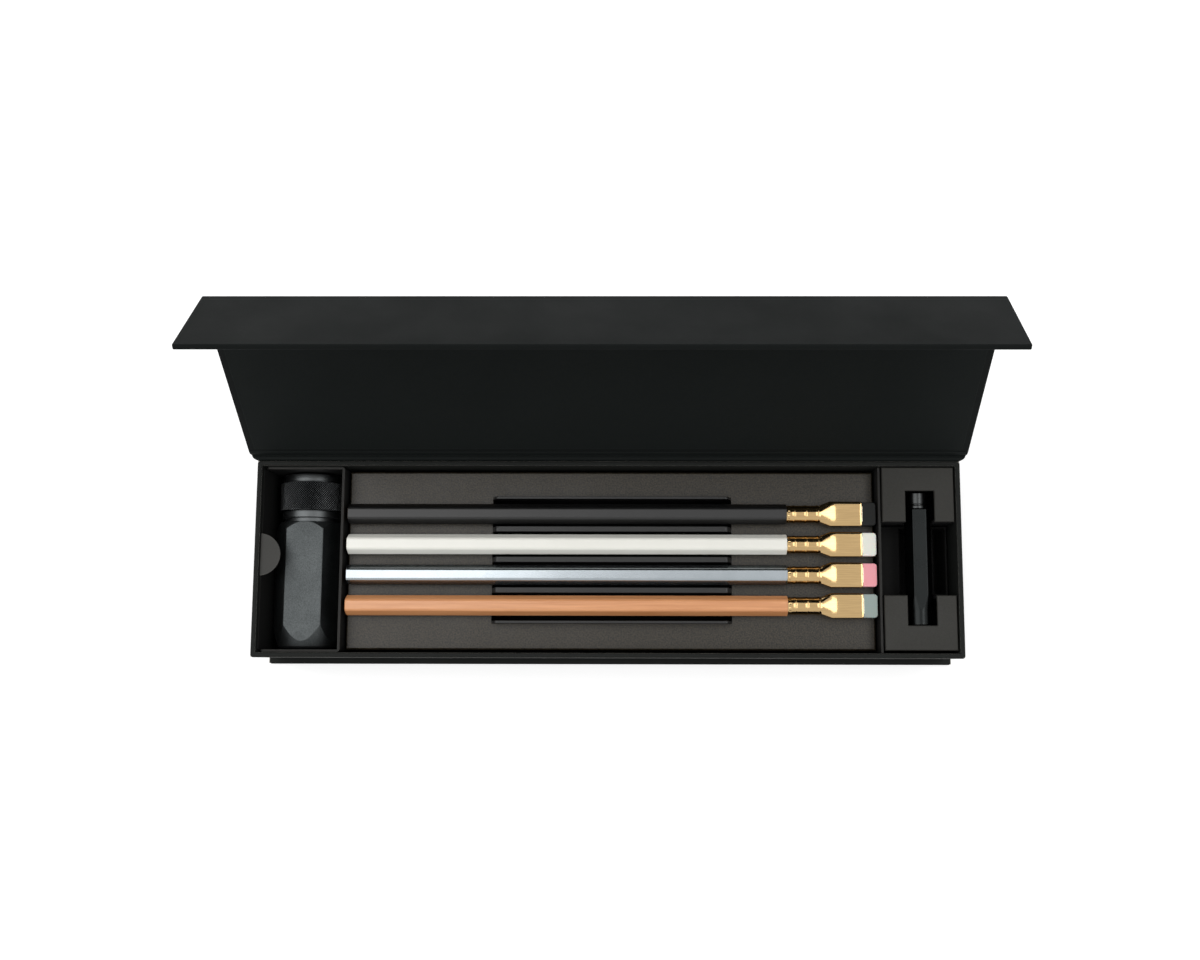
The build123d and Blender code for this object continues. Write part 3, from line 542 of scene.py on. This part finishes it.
# %% [markdown]
# ## Tools for meshes
#
# `stitched` joins rings of points into a skin, which suits anything long or turned, such as a barrel or a
# ferrule. `bar_across` makes a bar from an outline in the YZ plane. `clean_copy` copies a CAD node and
# joins its triangles into whole faces, ready for `round_edges`. `finished` turns any of these into a
# smooth-shaded object that rides on its body and stands for its CAD node.


# %% Mesh tools
def stitched(rings, caps=True, loop=False):
    """A skin over closed rings of points, capped at its ends or joined end to end in a loop."""
    bm = bmesh.new()
    made = [[bm.verts.new([value * MM for value in point]) for point in ring] for ring in rings]
    count = len(made[0])
    pairs = list(zip(made, made[1:])) + ([(made[-1], made[0])] if loop else [])
    for near, far in pairs:
        for i in range(count):
            j = (i + 1) % count
            bm.faces.new((near[i], near[j], far[j], far[i]))
    if caps and not loop:
        bm.faces.new(reversed(made[0]))
        bm.faces.new(made[-1])
    bmesh.ops.recalc_face_normals(bm, faces=bm.faces)
    return bm


def bar_across(outline, half_width):
    """A bar across the box with a (y, z) outline."""
    return stitched([[(x, y, z) for y, z in outline] for x in (-half_width, half_width)])


def round_edges(bm, edges, radius, segments=3):
    bmesh.ops.bevel(
        bm,
        geom=edges,
        offset=radius * MM,
        segments=segments,
        profile=0.5,
        affect="EDGES",
        clamp_overlap=True,
    )


def sharp_edges(bm, angle=30):
    limit = math.radians(angle)
    return [edge for edge in bm.edges if edge.is_manifold and edge.calc_face_angle() > limit]


def clean_copy(node):
    bm = bmesh.new()
    bm.from_mesh(cad_nodes[node].data)
    bmesh.ops.remove_doubles(bm, verts=bm.verts, dist=2e-6)
    bmesh.ops.dissolve_limit(
        bm, angle_limit=math.radians(1), verts=bm.verts, edges=bm.edges, delimit=set()
    )
    return bm


def finished(bm, name, body, material, *replaced, angle=40, slot=None):
    mesh = bpy.data.meshes.new(name)
    bm.to_mesh(mesh)
    bm.free()
    mesh.materials.append(material)
    mesh.polygons.foreach_set("use_smooth", [True] * len(mesh.polygons))
    mesh.set_sharp_from_angle(angle=math.radians(angle))
    piece = bpy.data.objects.new(name, mesh)
    bpy.context.scene.collection.objects.link(piece)
    piece.modifiers.new("even_normals", "WEIGHTED_NORMAL").keep_sharp = True
    if body:
        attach(piece, body)
    if replaced:
        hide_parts(*replaced)
    return piece


print("mesh tools ready")

# %% [markdown]
# ## The lid and the flap
#
# The lid and the flap are covered boards with mitred edges, so that they fold square along one line.
# Each gets an outline in the YZ plane, soft edges and a lining that stands a hair proud of its turned-in
# border. Copies of the CAD's solids would do too, but an outline carried straight across keeps each face
# whole, so that a long edge rounds evenly.

# %% Lid and flap covers
FOLD_ROUND = 0.9


def leaf_cover(name, body, outline, node, fold_point):
    bm = bar_across(outline, CASE_WIDTH / 2)
    fold = Vector((0, fold_point[0] * MM, fold_point[1] * MM))
    near_fold = [
        edge
        for edge in bm.edges
        if all((Vector((0, v.co.y, v.co.z)) - fold).length < 0.4 * MM for v in edge.verts)
    ]
    round_edges(bm, near_fold, FOLD_ROUND, 2)
    round_edges(bm, sharp_edges(bm), 0.4)
    finished(bm, name, body, case_paper, node, slot="black_paper")


leaf_cover(
    "lid_cover",
    "lid",
    (on_lid(2.6, 0), on_lid(2.6, -LEAF), on_lid(LID_LENGTH - 0.15, -LEAF), on_lid(LID_LENGTH - 2.15, 0)),
    "lid_cover_paper",
    FOLD,
)
leaf_cover(
    "flap_cover",
    "flap",
    (on_flap(0.15, 0), on_flap(FLAP_LENGTH, 0), on_flap(FLAP_LENGTH, LEAF), on_flap(2.15, LEAF)),
    "flap_cover_paper",
    FOLD,
)


def lining(name, body, place, start, end, depth, node):
    below, proud = depth - 0.2, depth + 0.07
    bm = bar_across(
        (place(start, below), place(end, below), place(end, proud), place(start, proud)),
        CASE_WIDTH / 2 - 2.5,
    )
    round_edges(bm, sharp_edges(bm), 0.06, 2)
    finished(bm, name, body, lining_paper, node, slot="black_paper")


lining("lid_lining", "lid", on_lid, 5.1, LID_LENGTH - 4.65, 0, "lid_lining_paper")
lining("flap_lining", "flap", on_flap, 4.65, FLAP_LENGTH - 2.5, LEAF, "flap_lining_paper")
print("lid and flap made")

# %% [markdown]
# The paper turns over the fold in a small arc.


# %% The fold
def arc(centre, radius, start, end, steps):
    """Points on an arc in the YZ plane, with angles in degrees from +Y towards +Z."""
    turns = [math.radians(start + (end - start) * i / steps) for i in range(steps + 1)]
    return [(centre[0] + radius * math.cos(t), centre[1] + radius * math.sin(t)) for t in turns]


turn = FLAP_ANGLE - LID_ANGLE
fold_radius = FOLD_ROUND / math.tan(math.radians(turn / 2))
fold_centre = on_lid(LID_LENGTH - FOLD_ROUND, fold_radius - LEAF)
outside = arc(fold_centre, fold_radius + 0.03, LID_ANGLE - 90, FLAP_ANGLE - 90, 10)
inside = arc(fold_centre, fold_radius - 0.22, LID_ANGLE - 90, FLAP_ANGLE - 90, 10)
fold_outline = (
    [on_lid(LID_LENGTH - 3.5, 0.02 - LEAF), on_lid(LID_LENGTH - 3.2, -LEAF - 0.03)]
    + outside
    + [on_flap(3.2, -0.03), on_flap(3.5, 0.02)]
    + inside[::-1]
)
fold_strip = finished(
    bar_across(fold_outline, CASE_WIDTH / 2 - 0.3), "fold_strip", None, case_paper, slot="black_paper"
)
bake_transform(fold_strip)
print("fold radius", round(fold_radius, 2))

# %% [markdown]
# At the back, a strip of the same paper comes up out of the crease behind the tray, lies over the top of
# the spine, dips into the gap and turns up on to the lid. It is as wide as the lid there and narrows to
# the tray in a rounded corner.

# %% The hinge
# Each row of the strip is its y, its z and half its width.
HINGE_LINE = (
    (37.55, 36.0, 134.1),
    (37.62, 36.55, 134.4),
    (37.85, 36.9, 135.1),
    (38.25, 37.1, 135.9),
    (38.75, 37.15, 136.4),
    (39.2, 37.0, 136.6),
    (39.5, 36.95, 136.7),
    (39.72, 37.3, 136.75),
    (39.8, 38.0, 136.8),
    (39.83, 38.9, 136.8),
    (39.84, 39.7, 136.8),
    (39.9, 40.12, 136.75),
    (*on_lid(3.1, 0.06), 136.7),
    (*on_lid(3.7, 0.03), 136.6),
)
hinge_rings = []
for i, (y, z, half) in enumerate(HINGE_LINE):
    before, after = HINGE_LINE[max(0, i - 1)], HINGE_LINE[min(len(HINGE_LINE) - 1, i + 1)]
    run = Vector((after[0] - before[0], after[1] - before[1])).normalized() * 0.13
    upper, lower = (y - run.y, z + run.x), (y + run.y, z - run.x)
    hinge_rings.append([(-half, *lower), (half, *lower), (half, *upper), (-half, *upper)])
hinge_strip = finished(stitched(hinge_rings), "hinge_strip", None, lining_paper, slot="black_paper")
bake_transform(hinge_strip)
print("hinge strip has", len(hinge_rings), "rows")

# %% [markdown]
# ## The spine, the base and the tray
#
# The paper runs over the tray's rim without a seam, so the rim is drawn as one band: a rounded rectangle
# that climbs the outside of the wall, turns over the top in a soft edge and goes down inside.

# %% Spine and base
spine = bar_across(((37.4, 2.0), (39.2, 2.0), (39.2, 36.6), (37.4, 36.6)), TRAY_WIDTH / 2)
round_edges(spine, sharp_edges(spine), 0.3)
finished(spine, "spine_cover", "case", case_paper, "spine_cover_paper", slot="black_paper")

base = bar_across(((-39.8, 0), (39.2, 0), (39.2, LEAF), (-39.8, LEAF)), CASE_WIDTH / 2 - 0.3)
upright = [edge for edge in base.edges if abs(edge.verts[0].co.z - edge.verts[1].co.z) > MM]
round_edges(base, upright, 0.9, 4)
round_edges(base, sharp_edges(base), 0.5)
finished(base, "base_cover", "case", case_paper_painted_lighter, "base_cover_paper", slot="black_paper")
print("spine and base made")


# %% Tray
def rounded_rectangle(half_x, half_y, radius, steps=5):
    points = []
    for sign_x, sign_y, start in ((1, 1, 0), (-1, 1, 90), (-1, -1, 180), (1, -1, 270)):
        for step in range(steps + 1):
            t = math.radians(start + 90 * step / steps)
            x = sign_x * (half_x - radius) + radius * math.cos(t)
            points.append((x, sign_y * (half_y - radius) + radius * math.sin(t)))
    return points


RIM_ROUND = 0.7
wall_line = [(0.0, LEAF), (0.0, 20.0)]
for step in range(7):
    t = math.radians(15 * step)
    wall_line.append((RIM_ROUND * (1 - math.cos(t)), RIM - RIM_ROUND * (1 - math.sin(t))))
for step in range(7):
    t = math.radians(90 - 15 * step)
    wall_line.append((LEAF - RIM_ROUND * (1 - math.cos(t)), RIM - RIM_ROUND * (1 - math.sin(t))))
wall_line += [(LEAF, 20.0), (LEAF, LEAF)]
tray_rings = []
for inset, height in wall_line:
    corner = 1.0 - 0.35 * inset
    rectangle = rounded_rectangle(TRAY_WIDTH / 2 - inset, TRAY_DEPTH / 2 - inset, corner)
    tray_rings.append([(x, y, height) for x, y in rectangle])
tray = stitched(tray_rings, loop=True)
finished(tray, "tray_cover", "case", case_paper_painted_lighter, "tray_cover_paper", slot="tray_paper")
print("tray wall has", len(tray_rings), "rings")

# %% [markdown]
# ## The insert
#
# The card pieces keep their CAD shapes, with folded edges rounded off. They could be drawn again, but
# their windows and slots are right already, so a cleaned copy of each is rounded instead. Upright corners
# of the card round the sharpener's bay bend with a larger radius than its cut edges.


# %% Tools for card
def folded(node, name, cut, fold, is_fold, material, body="case"):
    """A card piece: folds are rounded first, and then what is left is eased as a cut edge."""
    bm = clean_copy(node)
    round_edges(bm, [edge for edge in sharp_edges(bm) if is_fold(edge)], fold, 4)
    round_edges(bm, sharp_edges(bm, 40), cut, 2)
    finished(bm, name, body, material, node, slot="insert_card")


def along(edge, axis):
    span = edge.verts[0].co - edge.verts[1].co
    return abs(span[axis]) > 0.98 * span.length


def at_place(edge, axis, value):
    return all(abs(v.co[axis] - value * MM) < 1e-5 for v in edge.verts)


def on_platform_border(edge):
    border = ((0, -100.6), (0, 102.6), (1, -34.4), (1, 34.4))
    return at_place(edge, 2, PLATFORM_TOP) and any(at_place(edge, axis, value) for axis, value in border)


def on_bay_corner(edge):
    """The upright folds beside the pencils, and the cut corner by the left wall."""
    upright = along(edge, 2) and at_place(edge, 0, -101.2)
    return upright or (along(edge, 1) and at_place(edge, 0, -131.5) and at_place(edge, 2, DIVIDER_TOP))


def never(edge):
    return False


print("card tools ready")

# %% Insert pieces
folded("pencil_platform", "platform", 0.12, 0.8, on_platform_border, platform_card)
folded("sharpener_bay_card", "bay_card", 0.15, 1.2, on_bay_corner, wall_card)
folded("right_divider", "divider", 0.2, 0.2, never, wall_card)
folded("bay_side_card", "side_card", 0.1, 0.2, never, dark_card_and_shade)
for end in ("back", "front"):
    folded(
        f"guard_block_{end}", f"{end}_block", 0.15, 0.5, lambda edge: at_place(edge, 2, BLOCK_TOP), block_card
    )
folded("guard_step_card", "step_card", 0.12, 0.45, lambda edge: at_place(edge, 2, 22.5), dark_card_and_shade)
folded("lift_tab", "half_round_tab", 0.15, 0.2, never, tab_card, "tab")
print("insert made")

# %% [markdown]
# ## Pencils
#
# A barrel is a hexagon with rounded corners, swept along X. Its sawn end keeps the hole for the lead,
# which is the CAD's own. A ferrule's radius is worked out for every angle and place: a crimped tube,
# then a crown that widens and sinks until a flat plate comes out of it along an arc. Raising two radii
# to a high power before adding them blends the surfaces with a soft crease.


# %% Barrels
def hexagon(flats, corner, steps, per_flat=1):
    """A hexagon with flats above and below and rounded corners, as (across, up) points."""
    reach = (flats / 2 - corner) / math.cos(math.pi / 6)
    bends = []
    for side in range(6):
        facing = math.radians(60 * side)
        turns = [facing - math.pi / 6 + math.pi / 3 * step / steps for step in range(steps + 1)]
        centre = (reach * math.cos(facing), reach * math.sin(facing))
        bends.append([(centre[0] + corner * math.cos(t), centre[1] + corner * math.sin(t)) for t in turns])
    points = []
    for bend, following in zip(bends, bends[1:] + bends[:1]):
        start, end = bend[-1], following[0]
        shares = [step / per_flat for step in range(1, per_flat)]
        points += bend
        points += [(start[0] + (end[0] - start[0]) * t, start[1] + (end[1] - start[1]) * t) for t in shares]
    return points


BARREL_FLATS = 7.1
LEAD = 1.1
section = hexagon(BARREL_FLATS, 1.5, 6)
for name, row in ROWS.items():
    turns = [math.atan2(z, y) for y, z in section]
    hole = [(row + LEAD * math.cos(t), PENCIL_Z + LEAD * math.sin(t)) for t in turns]
    rings = [[(PENCIL_START + depth, y, z) for y, z in hole] for depth in (3.0, 0.0)]
    for depth, size in ((0.0, 0.887), (0.05, 0.91), (0.35, 0.992), (0.5, 1.0)):
        rings.append([(PENCIL_START + depth, row + y * size, PENCIL_Z + z * size) for y, z in section])
    for place, size in ((BARREL_END - 0.2, 1.0), (BARREL_END, 0.96)):
        rings.append([(place, row + y * size, PENCIL_Z + z * size) for y, z in section])
    finished(stitched(rings), f"{name}_shaft", f"{name}_pencil", barrels[name], f"{name}_barrel", angle=25)
print("barrels made")

# %% Ferrules
TUBE = 3.35
BEADS = (2.8, 7.3, 11.8)
FLARE = (12.8, 18.2)
HALF_PLATE = 2.5
FERRULE = 28.7
FERRULE_WALL = 0.3
TEETH = 14


def ferrule_radius(x, angle):
    """The ferrule's outside radius at a distance x along it and an angle round it."""
    bead = 0.2 * sum(math.exp(-(((x - place) / 0.42) ** 2)) for place in BEADS)
    tooth = 0.15 * max(0.0, math.cos(TEETH * angle)) ** 2 * math.exp(-(((x - 0.9) / 0.3) ** 2))
    if x <= FLARE[0]:
        return TUBE + bead - tooth
    grow = min(1.0, (x - FLARE[0]) / (FLARE[1] - FLARE[0]))
    half_width = TUBE + 1.45 * min(1.0, 1.4 * grow)
    crown_height = TUBE - 0.85 * (x - 12.3) / 6.7
    side, top = abs(math.cos(angle)), abs(math.sin(angle))
    flat = ((side / half_width) ** 7 + (top / HALF_PLATE) ** 7) ** (-1 / 7)
    if crown_height < 2.0:
        return flat
    power = 2 + 2.5 * grow
    crown = ((side / half_width) ** power + (top / crown_height) ** power) ** (-1 / power)
    return (crown**60 + flat**60) ** (1 / 60) + bead


places = [0.0, 0.05]
places += [0.1 + 0.14 * i for i in range(134)]
places += [19.0 + 0.8 * i for i in range(12)]
places += [28.5, 28.62]
steps_round = TEETH * 12
angles = [2 * math.pi * i / steps_round for i in range(steps_round)]


def ferrule_ring(x, row, inset=0.0):
    ring = []
    for angle in angles:
        radius = ferrule_radius(x, angle) - inset
        ring.append((BARREL_END + x, row + radius * math.cos(angle), PENCIL_Z + radius * math.sin(angle)))
    return ring


for name, row in ROWS.items():
    rings = [ferrule_ring(x, row, 0.06 if x in (0.0, 28.62) else 0.0) for x in places]
    rings += [ferrule_ring(FERRULE, row, 0.13), ferrule_ring(28.62, row, 0.24)]
    rings += [ferrule_ring(x, row, FERRULE_WALL) for x in (28.4, 26.0, 22.0, 19.5)]
    finished(
        stitched(rings),
        f"{name}_crimped_ferrule",
        f"{name}_pencil",
        brass,
        f"{name}_ferrule",
        angle=50,
        slot="brass_ferrule",
    )
print("ferrules made with", len(places), "rings each")

# %% [markdown]
# Each eraser is a flat slab with rounded corners at its free end. A thin brass clip is folded round the
# part that sits in the ferrule, and only its edge shows. The clip could be bent from a sheet, but a slab
# a little thicker than the eraser, and narrower, shows the same edge with far fewer faces.


# %% Erasers and their clips
def rounded_slab(width, depth, length, corner, edge):
    """A slab along X whose free end has rounded corners, centred on its own axis."""
    bm = bmesh.new()
    bmesh.ops.create_cube(bm, size=1.0)
    bmesh.ops.scale(bm, vec=(length * MM, width * MM, depth * MM), verts=bm.verts)
    bmesh.ops.translate(bm, vec=(length / 2 * MM, 0, 0), verts=bm.verts)
    free_end = [e for e in bm.edges if all(v.co.x > length * 0.9 * MM for v in e.verts) and along(e, 2)]
    round_edges(bm, free_end, corner, 6)
    round_edges(bm, sharp_edges(bm, 50), edge, 3)
    return bm


ERASER = (88.1, 102.6)
for name, row in ROWS.items():
    eraser = rounded_slab(8.9, 3.9, ERASER[1] - ERASER[0], 1.2, 0.4)
    bmesh.ops.translate(eraser, vec=(ERASER[0] * MM, row * MM, PENCIL_Z * MM), verts=eraser.verts)
    finished(eraser, f"{name}_rubber", f"{name}_pencil", rubbers[name], f"{name}_eraser")
    clip = rounded_slab(6.0, 4.4, 9.5, 0.35, 0.1)
    bmesh.ops.translate(clip, vec=((ERASER[0] - 0.2) * MM, row * MM, PENCIL_Z * MM), verts=clip.verts)
    finished(clip, f"{name}_sleeve", f"{name}_pencil", clip_brass, f"{name}_clip")
print("erasers made")

# %% [markdown]
# ## The sharpener and the point guard
#
# The collar's grip is knurled: two sets of grooves cross at an angle and leave small pyramids. A
# triangle wave of the distance along each set of grooves gives the height of the metal between them.

# %% The knurled collar
KNURLS = 88
KNURL_PITCH = 0.92
KNURL_DEPTH = 0.36
COLLAR = 12.7


def triangle_wave(value):
    return abs(2 * (value - math.floor(value + 0.5)))


def collar_ring(y, radius, knurled=False):
    ring = []
    count = KNURLS * 6
    for i in range(count):
        angle = 2 * math.pi * i / count
        depth = 0.0
        if knurled:
            around = angle / (2 * math.pi) * KNURLS
            up = (y - 19.6) / KNURL_PITCH
            groove = min(triangle_wave(around + up), triangle_wave(around - up))
            depth = KNURL_DEPTH * (1 - min(1, groove * 1.25))
        r = radius - depth
        ring.append((SHARPENER[0] + r * math.cos(angle), y, SHARPENER[1] + r * math.sin(angle)))
    return ring


# Both sides of the grip, as (y, radius) points.
shell_side = (
    (6.0, 8.8), (6.0, 10.0), (6.3, 10.25), (15.2, 10.25), (15.2, 10.75), (16.6, 10.75), (16.6, 11.4),
    (16.9, 11.7), (19.0, 11.7), (19.1, 11.5), (19.3, 11.5), (19.4, 12.2), (19.6, 12.6),
)
mouth_side = (
    (30.6, 12.6), (30.8, 12.2), (30.9, 11.5), (31.1, 11.5), (31.2, 11.7), (33.3, 11.7), (33.7, 11.5),
    (33.8, 11.1), (33.8, 5.2), (33.5, 4.6), (33.0, 4.3), (27.0, 4.3), (27.0, 8.8),
)
rings = [collar_ring(y, radius) for y, radius in shell_side]
rings += [collar_ring(19.7 + 0.1535 * i, COLLAR, True) for i in range(71)]
rings += [collar_ring(y, radius) for y, radius in mouth_side]
finished(
    stitched(rings, loop=True),
    "knurled_collar",
    "sharpener_head",
    turned_black,
    "sharpener_collar",
    angle=28,
    slot="black_anodised",
)
print("collar has", KNURLS, "knurls round it")

# %% [markdown]
# The sharpener's shell and the point guard are hexagonal bars that a lathe has turned down at the ends.
# Where the turned cone leaves a flat, it draws an arch. To give the arch a clean edge, the skin is made
# of profiles that run along the bar, one for each point round the hexagon, and every profile has its own
# corner where the cone meets the flat. `soft_profile` rounds these corners with short curves.


# %% Bars turned from a hexagon
def curve_point(start, corner, end, t):
    """A point on the curve that leaves `start` towards `corner` and arrives at `end`."""
    return [(1 - t) ** 2 * a + 2 * t * (1 - t) * c + t * t * b for a, c, b in zip(start, corner, end)]


def soft_profile(points, reach, steps=3):
    """Rounds each corner of a line of (y, radius) points by a short curve."""
    line = [points[0]]
    for before, corner, after in zip(points, points[1:], points[2:]):
        ends = []
        for other in (before, after):
            share = min(reach / max(math.dist(corner, other), 1e-6), 0.45)
            ends.append([c + (o - c) * share for c, o in zip(corner, other)])
        line += [curve_point(ends[0], corner, ends[1], step / steps) for step in range(steps + 1)]
    line.append(points[-1])
    return line


def turned_bar(centre, section, profile, reach):
    """A skin of profiles along Y. `profile` gives the (y, radius) line for a flat's own radius."""
    columns = []
    for across, up in section:
        size = math.hypot(across, up)
        line = soft_profile(profile(size), reach)
        columns.append([(centre[0] + across / size * r, y, centre[1] + up / size * r) for y, r in line])
    return [list(ring) for ring in zip(*columns)]


SHELL_FLATS = 24.8
SHELL_CORNER = 14.318
TAIL_SLOPE = 0.3044
MOUTH_SLOPE = 0.6393


def shell_profile(size):
    """The shell's outline at a distance `size` from its axis. Both cones start further in on a flat."""
    tail = -24.7 - (SHELL_CORNER - size) / TAIL_SLOPE
    mouth = min(15.0, 12.1 + (SHELL_CORNER - size) / MOUTH_SLOPE)
    outside = [(-34.0, 6.0), (-34.0, 10.687), (-33.2, 11.73), (tail, size), (mouth, size), (15.1, 12.3)]
    return outside + [(15.1, 10.3), (-30.0, 10.3)]


shell = turned_bar(SHARPENER, hexagon(SHELL_FLATS, 0.6, 4, 16), shell_profile, 0.22)
finished(
    stitched(shell),
    "hex_shell",
    "sharpener",
    blasted_black,
    "sharpener_shell",
    angle=35,
    slot="black_anodised",
)
print("shell has", len(shell), "rings")


# %% The point guard
GUARD_FLATS = 9.0
GUARD_MOUTH = 4.49
GUARD_SLOPE = 0.1139
BORE = 3.98


def guard_profile(size):
    """The guard's skin at a distance `size` from its axis, up its bore and back over its outside."""
    tongue = -19.0 + (size - GUARD_MOUTH) / GUARD_SLOPE
    inside = [(13.45, BORE), (-10.95, BORE), (-10.95, 4.2), (-23.95, 4.2), (-23.95, BORE), (-24.55, 4.0)]
    mouth = [(-24.55, GUARD_MOUTH), (-19.0, GUARD_MOUTH)]
    return inside + mouth + [(tongue, size), (19.2, size), (19.6, size - 0.4), (19.6, 2.5)]


guard = turned_bar(GUARD, hexagon(GUARD_FLATS, 0.35, 4, 10), guard_profile, 0.12)
finished(stitched(guard), "guard_tube", "guard", guard_black, "guard_shell", angle=35, slot="black_anodised")

knob_line = [
    (15.6, 2.5), (19.6, 2.5), (19.6, 3.6), (20.95, 3.6), (20.95, 3.05),
    (21.5, 3.05), (21.5, 3.4), (25.7, 3.4), (25.7, 1.0),
]
round_section = [(math.cos(math.radians(5 * i)), math.sin(math.radians(5 * i))) for i in range(72)]
knob = turned_bar(GUARD, round_section, lambda size: knob_line, 0.3)
finished(stitched(knob), "guard_knob", "guard", knob_black, "guard_button", angle=35, slot="black_anodised")
print("guard made")

# %% [markdown]
# ## The pieces that stay as they are
#
# The boards, the leads, the magnets and the parts inside the sharpener and the guard are flat or turned,
# and the CAD has their shapes already. They show only when something is lifted or opened, so each gets
# a material by its slot and nothing is drawn over it.

# %% Materials of the pieces that keep their CAD shapes
inner_materials = {
    "grey_board": grey_board,
    "tray_paper": dark_card_and_shade,
    "graphite": graphite,
    "turned_brass": turned_brass,
    "blade_steel": blade_steel,
    "spring_brass": turned_brass,
    "nickel_disc": plated_steel,
    "steel_disc": plated_steel,
}
slots = {part["node"]: part["material_slot"] for part in frame["record"]["subparts"]}
for node, made in cad_nodes.items():
    if slots[node] in inner_materials:
        made.data.materials.clear()
        made.data.materials.append(inner_materials[slots[node]])
print("inner pieces given their materials")

# %% [markdown]
# ## Floor and light
#
# The backdrop is white to the camera and in reflections, and a calm grey to the light that it bounces, so
# that it brightens the picture and not the object. The floor takes the lamps' light as any pale floor
# does, and a weak glow on top of it reaches white. Where the object blocks the lamps, only the glow and
# the sky are left, which is its shadow. Light Path tells the kinds of ray apart.


# %% Floor
def seen_directly(tree):
    """1 for rays from the camera, in a reflection or through glass, and 0 for the light of a surface."""
    path = add_node(tree, "LightPath").outputs
    seen = path["Is Camera Ray"]
    for kind in ("Is Glossy Ray", "Is Transmission Ray"):
        seen = add_node(tree, "Math", {0: seen, 1: path[kind]}, operation="MAXIMUM").outputs[0]
    return seen


floor_mesh = bpy.data.meshes.new("floor")
floor_bm = bmesh.new()
bmesh.ops.create_grid(floor_bm, x_segments=1, y_segments=1, size=4.0)
floor_bm.to_mesh(floor_mesh)
floor_bm.free()
floor = bpy.data.objects.new("floor", floor_mesh)
floor.location.z = -0.0002
bpy.context.scene.collection.objects.link(floor)
floor_material, floor_shader = new_material("floor", (0.8, 0.8, 0.8), Roughness=0.9, Specular_IOR_Level=0.0)
tree = floor_material.node_tree
glow_strength = add_node(tree, "Math", {0: seen_directly(tree), 1: 0.53}, operation="MULTIPLY").outputs[0]
glow = add_node(tree, "Emission", {"Color": (1, 1, 1, 1), "Strength": glow_strength})
both = add_node(tree, "AddShader", {0: floor_shader.outputs[0], 1: glow.outputs[0]})
tree.links.new(both.outputs[0], tree.nodes["Material Output"].inputs["Surface"])
floor_mesh.materials.append(floor_material)
print("floor made")

# %% Sky
world = bpy.data.worlds.new("studio")
bpy.context.scene.world = world
world.use_nodes = True
sky = world.node_tree
dim = sky.nodes["Background"]
dim.inputs["Color"].default_value = (1, 1, 1, 1)
dim.inputs["Strength"].default_value = 0.4
bright = add_node(sky, "Background", {"Color": (1, 1, 1, 1), "Strength": 1.0})
sky_mix = add_node(sky, "MixShader", {0: seen_directly(sky), 1: dim.outputs[0], 2: bright.outputs[0]})
sky.links.new(sky_mix.outputs[0], sky.nodes["World Output"].inputs["Surface"])
print("sky made")

# %% [markdown]
# A large soft lamp lights the box from the upper left. A long strip on the right draws a bright line
# over every bead and cone of the brass. At their strength a colour renders about as it is written.


# %% Lamps
def softbox(name, location, along_y, along_x, power):
    data = bpy.data.lights.new(name, "AREA")
    data.shape = "RECTANGLE"
    data.size, data.size_y = along_y, along_x
    data.energy = power
    lamp = bpy.data.objects.new(name, data)
    lamp.location = location
    lamp.rotation_euler = Vector(location).to_track_quat("Z", "Y").to_euler()
    bpy.context.scene.collection.objects.link(lamp)


softbox("key", (-0.62, 0.12, 1.15), 1.1, 1.1, 7.4)
softbox("strip", (0.62, 0.08, 1.05), 1.4, 0.34, 5.0)

bpy.context.scene.view_settings.view_transform = "Standard"
